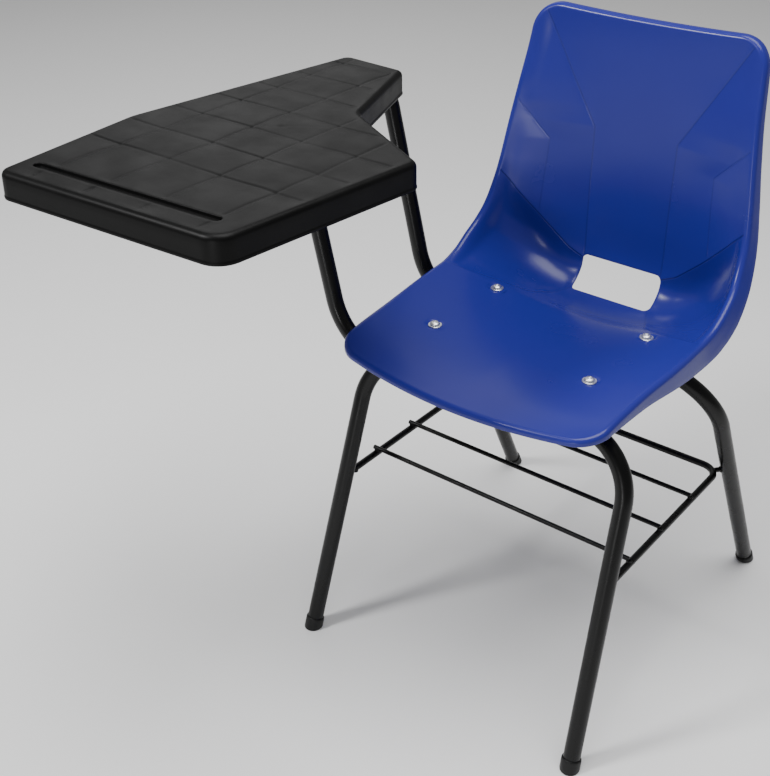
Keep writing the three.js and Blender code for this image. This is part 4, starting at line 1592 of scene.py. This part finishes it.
@dataclass
class BookRack:
    """The rod frame under the seat and the three wires that books lie on."""

    shop: Workshop
    legs: LegFrames
    rod: float = 9.5
    side_x: float = 198.5
    rear_setback: float = 12.8
    bend: float = 24.0
    lug: float = 7.0
    wire: float = 6.35

    def build(self) -> None:
        """Builds the rod frame, lugs, wires and welds."""
        low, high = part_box("book_rack_frame")
        height = (low.z + high.z) / 2 / MM
        start_y = low.y / MM - self.shop.origin.y
        rear_y = self.legs.rear.axis_at(1, height)[1] - self.rear_setback
        corners = [
            self.shop.place(x, y, height)
            for x, y in (
                (self.side_x, start_y - 0.6),
                (self.side_x, rear_y),
                (-self.side_x, rear_y),
                (-self.side_x, start_y - 0.6),
            )
        ]
        route = bent_route(corners, [self.bend, self.bend], 14)
        self.shop.bar("rack_rod", [route], self.rod / 2, ["book_rack_frame"], 24)
        lugs, lug_welds = self._lugs(height, rear_y)
        self.shop.bar("rack_lugs", lugs, self.lug / 2, None, 20)
        self.shop.beads("rack_lug_welds", lug_welds, self.lug / 2 - 0.2, 1.5)
        back = Vector((0, 1, 0))
        front = [(corners[i] + back * 1.2, back) for i in (0, 3)]
        self.shop.beads("rack_front_welds", front, self.rod / 2 - 0.2, 1.9)
        self._wires(height)

    def _lugs(self, height: float, rear_y: float) -> tuple[list, list]:
        """Works out the short rods from the rear corners to the rear legs.

        Args:
            height: The rack's height.
            rear_y: Where its rear rod runs.

        Returns:
            The routes and the welds at their outer ends.
        """
        inset = self.bend * (1 - math.sqrt(0.5))
        routes, welds = [], []
        for side in (-1, 1):
            start = self.shop.place(side * (self.side_x - inset), rear_y - inset, height)
            leg = self.shop.place(*self.legs.rear.axis_at(side, height))
            heading = (leg - start).normalized()
            end = leg - heading * (self.shop.tube_radius + 0.2)
            routes.append([start, end])
            welds += [(end - heading * 0.8, heading)]
        return routes, welds

    def _wires(self, height: float) -> None:
        """Lays the wires over the side rods.

        Args:
            height: The rack's height.
        """
        spots = []
        level = height + (self.rod + self.wire) / 2
        for number in (1, 2, 3):
            node = f"book_rack_wire_{number}"
            y = box_middle(node).y
            ends = [Vector((end.x / MM, y, level + 0.1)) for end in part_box(node)]
            self.shop.bar(f"rack_wire_{number}", [ends], self.wire / 2, [node], 20)
            for side in (-1, 1):
                place = self.shop.place(side * self.side_x, 0, height + self.rod / 2)
                spots.append((Vector((place.x, y, place.z)), Vector((0, 0, 1))))
        self.shop.beads("rack_wire_welds", spots, 2.6, 1.3)


# ---------------------------------------------------------------- writing tablet


@dataclass(frozen=True)
class Corner:
    """One corner of the tablet's outline."""

    x: float
    y: float
    radius: float


TABLET_CORNERS = (
    Corner(-405, -531, 17),
    Corner(-88, -512, 28),
    Corner(-61, -229, 16),
    Corner(-215, -143, 24),
    Corner(-279, 28, 12),
    Corner(-382, 35, 15),
    Corner(-428, -318, 70),
)


@dataclass
class TabletArm:
    """The writing tablet, the ribs under it and the two bent tubes that carry it."""

    shop: Workshop
    corners: tuple[Corner, ...] = TABLET_CORNERS
    height: float = 32.0
    skin: float = 4.0
    wall: float = 3.0
    edge_round: float = 8.0
    wall_setback: float = 0.9
    groove_from: tuple[float, float] = (-380.0, -491.0)
    groove_to: tuple[float, float] = (-126.0, -476.0)
    groove_width: float = 11.6
    groove_depth: float = 6.0
    trough_turns: int = 16
    long_ribs: tuple[float, ...] = (-363.0, -284.0, -205.0, -126.0)
    cross_ribs: tuple[float, ...] = (-391.0, -325.4, -259.8, -194.2, -128.6, -63.0, 2.6)
    rib_wall: float = 2.4
    rib_height: float = 16.0
    sink_depth: float = 0.5
    sink_width: float = 2.6
    pillow_depth: float = 0.7
    grid_step: float = 3.2
    support_lean: float = 14.4
    support_corner: float = -220.5
    support_inner_end: float = 130.0
    lower_bend: float = 87.0
    upper_bend: float = 38.0
    gate: tuple[float, float] = (-257.0, -236.0)
    gate_rays: tuple = ((-274, -248), (-281, -190), (-203, -195), (-222, -241))

    def __post_init__(self) -> None:
        """Reads the heights from the frame and samples the outline."""
        low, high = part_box("writing_tablet")
        self.top, self.bottom = high.z / MM, low.z / MM
        self.outline, self.inward = self._outline()

    def _outline(self) -> tuple[np.ndarray, np.ndarray]:
        """Samples the outline closely, with the direction into the tablet at each sample."""
        points, inward = [], []
        count = len(self.corners)
        spots = [np.array([c.x, c.y], float) for c in self.corners]
        arcs = []
        for i, corner in enumerate(self.corners):
            arriving = unit(spots[i] - spots[i - 1])
            leaving = unit(spots[(i + 1) % count] - spots[i])
            turn = math.asin(arriving[0] * leaving[1] - arriving[1] * leaving[0])
            side = math.copysign(1, turn)
            start = spots[i] - arriving * corner.radius * math.tan(abs(turn) / 2)
            centre = start + np.array([-arriving[1], arriving[0]]) * side * corner.radius
            base = math.atan2(*(start - centre)[::-1])
            arcs.append((centre, corner.radius, base, turn, side))
        for i, (centre, radius, base, turn, side) in enumerate(arcs):
            steps = max(8, int(abs(turn) * radius / 0.6))
            for k in range(steps + 1):
                angle = base + turn * k / steps
                spoke = np.array([math.cos(angle), math.sin(angle)])
                points.append(centre + spoke * radius)
                inward.append(-spoke * side)
            after = arcs[(i + 1) % count]
            end = points[-1]
            begin = after[0] + np.array([math.cos(after[2]), math.sin(after[2])]) * after[1]
            length = np.linalg.norm(begin - end)
            for k in range(1, int(length)):
                points.append(end + (begin - end) * k / int(length))
                inward.append(inward[-1])
        return np.array(points), np.array(inward)

    @staticmethod
    def _inside(places: np.ndarray, outline: np.ndarray) -> np.ndarray:
        """Tells which places lie inside a closed outline."""
        found = np.zeros(len(places), bool)
        for (x0, y0), (x1, y1) in zip(outline, np.roll(outline, -1, axis=0)):
            crosses = (y0 > places[:, 1]) != (y1 > places[:, 1])
            if y0 != y1:
                found ^= crosses & (places[:, 0] < x0 + (x1 - x0) * (places[:, 1] - y0) / (y1 - y0))
        return found

    def _nearest(self, places: np.ndarray) -> tuple[np.ndarray, np.ndarray]:
        """The nearest outline point to each place, and the way in from it."""
        away = np.linalg.norm(places[:, None, :] - self.outline[None, :, :], axis=2)
        best = away.argmin(axis=1)
        spot, inward = self.outline[best], self.inward[best]
        along = np.stack([-inward[:, 1], inward[:, 0]], axis=1)
        return spot + along * ((places - spot) * along).sum(axis=1, keepdims=True), inward

    def _groove_gap(self, places: np.ndarray) -> tuple[np.ndarray, np.ndarray]:
        """Distance of each place from the groove's centre line, and the nearest point on it."""
        start, end = np.array(self.groove_from), np.array(self.groove_to)
        run = end - start
        share = np.clip(((places - start) @ run) / (run @ run), 0, 1)
        nearest = start + share[:, None] * run
        return np.linalg.norm(places - nearest, axis=1), nearest

    @staticmethod
    def _grid_lines(low: float, high: float, ribs: tuple[float, ...], step: float) -> np.ndarray:
        """Grid places across the top, close together over each rib."""
        near = np.array([-6.5, -5, -3.8, -2.7, -1.8, -0.9, 0, 0.9, 1.8, 2.7, 3.8, 5, 6.5])
        lines = sorted(v for rib in ribs for v in rib + near if low < v < high)
        filled = [low]
        for value in [*lines, high]:
            gap = value - filled[-1]
            steps = max(1, round(gap / step)) if gap > step * 1.4 else 1
            filled += [filled[-1] + gap * (k + 1) / steps for k in range(steps)]
        return np.array(filled)

    def _sink(self, places: np.ndarray) -> np.ndarray:
        """How far the top has sunk over the ribs and round the gate, at each place."""
        x, y = places[:, 0], places[:, 1]
        drop = np.zeros(len(places))
        # across each rib line the mark wanders a little, and along it the depth changes
        wave_x = 0.9 * np.sin(y / 31) + 0.5 * np.sin(y / 13 + 1)
        wave_y = 0.9 * np.sin(x / 27) + 0.5 * np.sin(x / 11 + 2)
        lines = ((x, wave_x, y / 40, self.long_ribs), (y, wave_y, x / 35, self.cross_ribs))
        for place, wave, phase, ribs in lines:
            for number, rib in enumerate(ribs):
                away = (place - rib - wave) / self.sink_width
                strength = 0.75 + 0.25 * np.sin(phase + number * 2)
                mark = np.exp(-(away**2)) - 0.35 * np.exp(-((away - 1.6) ** 2))
                drop += self.sink_depth * strength * mark
            half = (ribs[1] - ribs[0]) / 2
            away = np.abs(place[:, None] - np.array(ribs)).min(axis=1)
            drop += self.pillow_depth * np.clip(1 - away / half, 0, 1) ** 2
        gate = np.array(self.gate)
        for ray in self.gate_rays:
            run = np.array(ray, float) - gate
            share = np.clip(((places - gate) @ run) / (run @ run), 0, 1)
            away = np.linalg.norm(places - gate - share[:, None] * run, axis=1)
            drop += 0.34 * np.exp(-((away / 2.6) ** 2)) * (1 - share * 0.6)
        middle = np.hypot(x - gate[0], y - gate[1])
        drop += 0.25 * np.exp(-((middle / 4) ** 2))
        groove, _ = self._groove_gap(places)
        edge = np.linalg.norm(places - self._nearest_coarse(places), axis=1)
        return drop * smooth_step(7, 14, groove) * smooth_step(8, 15, edge)

    def _nearest_coarse(self, places: np.ndarray) -> np.ndarray:
        """The nearest of every fourth outline sample to each place."""
        thin = self.outline[::4]
        best = np.empty(len(places), int)
        for first in range(0, len(places), 4000):
            part = places[first : first + 4000]
            gaps = np.linalg.norm(part[:, None] - thin[None], axis=2)
            best[first : first + 4000] = gaps.argmin(axis=1)
        return thin[best]

    def _top_sheet(self) -> tuple[np.ndarray, list, list, list]:
        """The top as a grid cut to the outline and the groove.

        Returns:
            Places in plan, faces, the outer border and the groove's border.
        """
        low, high = self.outline.min(axis=0), self.outline.max(axis=0)
        xs = self._grid_lines(low[0], high[0], self.long_ribs, self.grid_step)
        ys = self._grid_lines(low[1], high[1], self.cross_ribs, self.grid_step)
        grid_x, grid_y = np.meshgrid(xs, ys)
        places = np.stack([grid_x.ravel(), grid_y.ravel()], axis=1)
        number = np.arange(len(places)).reshape(grid_x.shape)
        corners = (number[:-1, :-1], number[:-1, 1:], number[1:, 1:], number[1:, :-1])
        quads = np.stack([c.ravel() for c in corners], axis=1)
        middles = places[quads].mean(axis=1)
        inner = self.outline + self.inward * self.edge_round
        gap, _ = self._groove_gap(middles)
        kept = self._inside(middles, inner) & (gap > self.groove_width / 2 + 1.2)
        faces = quads[kept].tolist()
        outer, groove = border_loops(faces)[:2]
        spot, inward = self._nearest(places[outer])
        places[outer] = spot + inward * self.edge_round
        gap, nearest = self._groove_gap(places[groove])
        away = (places[groove] - nearest) / gap[:, None]
        places[groove] = nearest + away * (self.groove_width / 2 + 1.2)
        return places, faces, outer, groove

    def _edge_rings(self) -> list[tuple[float, float]]:
        """Insets and heights from the flat top, over the edge, round the lip and up inside."""
        round_, back = self.edge_round, self.wall_setback
        rings = []
        for degrees in (15, 30, 45, 60, 75, 90):
            turn = math.radians(degrees)
            reach = round_ - back
            rings.append((round_ - reach * math.sin(turn), self.top - reach * (1 - math.cos(turn))))
        low = self.bottom
        rings += [(back - 0.1, self.top - 14), (back - 0.3, low + 5.2), (back - 0.35, low + 4.2)]
        rings += [(0.25, low + 3.5), (0.02, low + 2.9), (0.0, low + 1.0)]
        rings += [(0.25, low + 0.25), (0.9, low)]
        rings += [(2.3, low), (2.9, low + 0.3), (3.1, low + 1.0), (3.3, self.top - self.skin - 2)]
        rings += [(4.0, self.top - self.skin - 0.6), (5.3, self.top - self.skin)]
        return rings

    def build(self) -> None:
        """Builds the tablet, its ribs, its supports and its screws."""
        plan, faces, outer, groove = self._top_sheet()
        spot, inward = self._nearest(plan[outer])
        used = sorted({i for face in faces for i in face})
        renumber = {old: new for new, old in enumerate(used)}
        faces = [[renumber[i] for i in face] for face in faces]
        outer, groove = [renumber[i] for i in outer], [renumber[i] for i in groove]
        plan = plan[used]
        points = [np.array([x, y, self.top - drop]) for (x, y), drop in zip(plan, self._sink(plan))]
        inner = outer
        for inset, height in self._edge_rings():
            ring = list(range(len(points), len(points) + len(outer)))
            points.extend(np.array([*p, height]) for p in spot + inward * inset)
            faces.extend(ring_faces(inner, ring))
            inner = ring
        faces.append(list(reversed(inner)))
        gap, nearest = self._groove_gap(plan[groove])
        away = (plan[groove] - nearest) / gap[:, None]
        half, floor = self.groove_width / 2, self.top - self.groove_depth
        inner = groove
        top = self.top
        profile = [(half + 0.6, top - 0.12), (half + 0.15, top - 0.6), (half, top - 1.4)]
        profile += [(half - 0.4, floor + 2.2), (half - 1.0, floor + 1.0)]
        profile += [(half - 2.2, floor + 0.2), (half - 3.6, floor)]
        for reach, height in profile:
            ring = list(range(len(points), len(points) + len(groove)))
            points.extend(np.array([*p, height]) for p in nearest + away * reach)
            faces.extend(ring_faces(inner, ring))
            inner = ring
        faces.append(list(reversed(inner)))
        shift = np.array(self.shop.origin)
        piece = mesh_piece("tablet", np.array(points) + shift, faces, 50)
        self.shop.finish_piece(piece, BLACK_POLYPROPYLENE, TABLET_SLOT, ["writing_tablet"])
        self._ribs()
        self._supports()

    def _support_ys(self) -> dict[str, float]:
        """Where each support stands, measured from the middle of the feet."""
        return {
            label: box_middle(f"tablet_support_{label}").y - self.shop.origin.y
            for label in ("front", "rear")
        }

    def _rib_runs(self, vertical: bool, place: float) -> list[tuple[Vector, Vector]]:
        """Cuts one rib line to the inside of the tablet and clear of the supports.

        Args:
            vertical: True for a rib that runs front to back.
            place: The rib's own x or y.

        Returns:
            The start and end of each stretch.
        """
        wall = self.outline + self.inward * (self.wall + 0.3)
        reach = np.arange(-540, 45, 0.5) if vertical else np.arange(-432, -50, 0.5)
        fixed = np.full(len(reach), place)
        spots = np.stack([fixed, reach] if vertical else [reach, fixed], axis=1)
        free = self._inside(spots, wall)
        for y in self._support_ys().values():
            free &= ~((np.abs(spots[:, 1] - y) < 12.3 + self.rib_wall / 2) & (spots[:, 0] < -262))
        gap, _ = self._groove_gap(spots)
        free &= gap > 8.5
        runs, start = [], None
        level = self.top - self.skin - self.rib_height / 2 + 0.2
        for i in range(len(reach) + 1):
            here = i < len(reach) and free[i]
            if here and start is None:
                start = i
            if not here and start is not None:
                if i - start > 6:
                    runs.append(tuple(self.shop.place(*spots[k], level) for k in (start, i - 1)))
                start = None
        return runs

    def _ribs(self) -> None:
        """Builds the grid of ribs and the trough under the groove."""
        runs = [run for x in self.long_ribs for run in self._rib_runs(True, x)]
        runs += [run for y in self.cross_ribs for run in self._rib_runs(False, y)]
        piece = line_piece("tablet_ribs", [list(run) for run in runs])
        given = {
            "Thickness": self.rib_wall * MM,
            "Height": self.rib_height * MM,
            "Material": BLACK_POLYPROPYLENE.material(),
        }
        run_tree(piece, self.shop.shapes.strip, given, 30)
        self.shop.finish_piece(piece, BLACK_POLYPROPYLENE, TABLET_SLOT)
        self._trough()

    def _trough(self) -> None:
        """Builds the thickening under the pen groove."""
        start, end = (np.array(p) for p in (self.groove_from, self.groove_to))
        run = unit(end - start)
        across = np.array([-run[1], run[0]])
        low, high = self.top - self.groove_depth - 3, self.top - self.skin + 0.2
        points, rings = [], []
        for radius, height in ((7.0, low), (7.8, low + 0.4), (8.0, low + 1.2), (8.0, high)):
            rings.append(list(range(len(points), len(points) + 2 * (self.trough_turns + 1))))
            for centre, base in ((end, -90), (start, 90)):
                for k in range(self.trough_turns + 1):
                    turn = math.radians(base + 180 * k / self.trough_turns)
                    spot = centre + (run * math.cos(turn) + across * math.sin(turn)) * radius
                    points.append([*spot, height])
        faces = [list(reversed(rings[0])), rings[-1]]
        for below, above in zip(rings, rings[1:]):
            faces += wall_faces(below, above)
        piece = mesh_piece("pen_trough", np.array(points) + np.array(self.shop.origin), faces, 40)
        self.shop.finish_piece(piece, BLACK_POLYPROPYLENE, TABLET_SLOT)

    def _supports(self) -> None:
        """Builds the two bent tubes, their plugs and the screws into the tablet."""
        level = self.bottom + self.shop.tube_radius + 0.9
        rise = level - self.shop.cross_height
        upper = self.support_corner - rise * math.tan(math.radians(self.support_lean))
        plugs, nodes, screws, bosses = [], [], [], []
        for label, y in self._support_ys().items():
            end_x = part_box(f"tablet_support_{label}")[0].x / MM - self.shop.origin.x
            corners = [
                self.shop.place(self.support_inner_end, y, self.shop.cross_height),
                self.shop.place(self.support_corner, y, self.shop.cross_height),
                self.shop.place(upper, y, level),
                self.shop.place(end_x, y, level),
            ]
            route = bent_route(corners, [self.lower_bend, self.upper_bend], 28)
            node = f"tablet_support_{label}"
            self.shop.bar(f"support_{label}", [route], self.shop.tube_radius, [node], 40)
            plugs += [(corners[0], Vector((1, 0, 0))), (corners[3], Vector((-1, 0, 0)))]
            nodes += [f"support_plug_{label}_inner", f"support_plug_{label}_outer"]
            for end in ("near", "far"):
                node = f"tablet_screw_{label}_{end}"
                spot = box_middle(node)
                low = Vector((spot.x, spot.y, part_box(node)[0].z / MM))
                screws.append((low, Vector((0, 0, 1))))
                high = Vector((spot.x, spot.y, self.top - self.skin))
                bosses.append((high, Vector((0, 0, 1))))
        self.shop.spread("support_plugs", plug_profile(), plugs, END_PLASTIC, END_SLOT, nodes)
        screw = [(0, 0.9), (1.5, 0.9), (1.7, 0.1), (2.2, 0.0), (3.4, 0.5), (4.3, 1.6)]
        screw += [(4.5, 2.6), (4.3, 3.0), (2.0, 3.05), (2.0, 27), (0.4, 29), (0, 29)]
        names = [f"tablet_screw_{a}_{b}" for a in ("front", "rear") for b in ("near", "far")]
        self.shop.spread("tablet_screws", screw, screws, ZINC_PLATE, ZINC_SLOT, names)
        boss = [(2.3, -4.6), (6.2, -4.6), (6.5, -4.3), (6.5, -1.5)]
        boss += [(8.0, 0.3), (2.3, 0.3), (2.3, -4.6)]
        template = turned("boss_shape", boss)
        piece = point_piece("tablet_bosses", bosses)
        given = {"Shape": template, "Material": BLACK_POLYPROPYLENE.material()}
        run_tree(piece, self.shop.shapes.spread, given, 35)
        bpy.data.objects.remove(template)
        self.shop.finish_piece(piece, BLACK_POLYPROPYLENE, TABLET_SLOT)


# ---------------------------------------------------------------- studio


@dataclass(frozen=True)
class SoftLight:
    """A soft studio light over the chair."""

    name: str
    place: tuple[float, float, float]
    aim: tuple[float, float, float]
    size: float
    power: float


@dataclass
class Studio:
    """The camera, the floor and the soft lights."""

    shop: Workshop
    camera_place: tuple[float, float, float] = (688.31, -1246.02, 1208.10)
    camera_turn: tuple[float, float] = (58.72, 38.12)
    lens_mm: float = 56.68
    floor_size: float = 12.0
    sky_strength: float = 0.28
    lights: tuple[SoftLight, ...] = (
        SoftLight("key", (-1.1, -1.7, 2.3), (0.0, 0.0, 0.5), 0.55, 46.0),
        SoftLight("front", (0.62, -2.4, 0.42), (0.0, 0.0, 0.5), 0.45, 6.5),
        SoftLight("top", (0.3, 0.0, 3.1), (0.0, 0.0, 0.5), 2.2, 82.0),
        SoftLight("back", (-2.3, 2.0, 2.3), (0.0, 0.0, 0.5), 1.9, 8.0),
    )

    def camera(self) -> None:
        """Makes the camera and hands it to the scene."""
        data = bpy.data.cameras.new("camera")
        data.lens = self.lens_mm
        data.sensor_width = 36
        data.clip_end = 60
        data.dof.use_dof = False
        camera = bpy.data.objects.new("camera", data)
        camera.location = self.shop.place(*self.camera_place) * MM
        down, round_ = (math.radians(angle) for angle in self.camera_turn)
        camera.rotation_euler = Euler((down, 0, round_))
        bpy.context.scene.collection.objects.link(camera)
        bpy.context.scene.camera = camera

    def build(self) -> None:
        """Lays the floor and hangs the lights."""
        half = self.floor_size / 2
        bm = bmesh.new()
        bmesh.ops.create_grid(bm, x_segments=8, y_segments=8, size=half)
        mesh = bpy.data.meshes.new("floor")
        bm.to_mesh(mesh)
        bm.free()
        floor = bpy.data.objects.new("floor", mesh)
        mesh.materials.append(FLOOR_SHEET.material())
        bpy.context.scene.collection.objects.link(floor)
        world = bpy.data.worlds.new("studio")
        world.use_nodes = True
        sky = world.node_tree.nodes["Background"]
        sky.inputs["Color"].default_value = (1.0, 1.0, 1.0, 1.0)
        sky.inputs["Strength"].default_value = self.sky_strength
        bpy.context.scene.world = world
        for light in self.lights:
            data = bpy.data.lights.new(light.name, "AREA")
            data.shape = "DISK"
            data.size = light.size
            data.energy = light.power
            lamp = bpy.data.objects.new(light.name, data)
            lamp.location = Vector(light.place)
            aim = Vector(light.aim) - lamp.location
            lamp.rotation_euler = aim.to_track_quat("-Z", "Y").to_euler()
            bpy.context.scene.collection.objects.link(lamp)


def main() -> None:
    """Builds the chair around the fixed frame and the studio around the chair."""
    logging.basicConfig(level=logging.INFO, format="%(name)s: %(message)s")
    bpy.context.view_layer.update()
    shop = Workshop()
    studio = Studio(shop)
    studio.camera()
    legs = LegFrames(shop)
    legs.build()
    BookRack(shop, legs).build()
    SeatShell(shop).build()
    TabletArm(shop).build()
    studio.build()


if __name__ == "__main__":
    main()
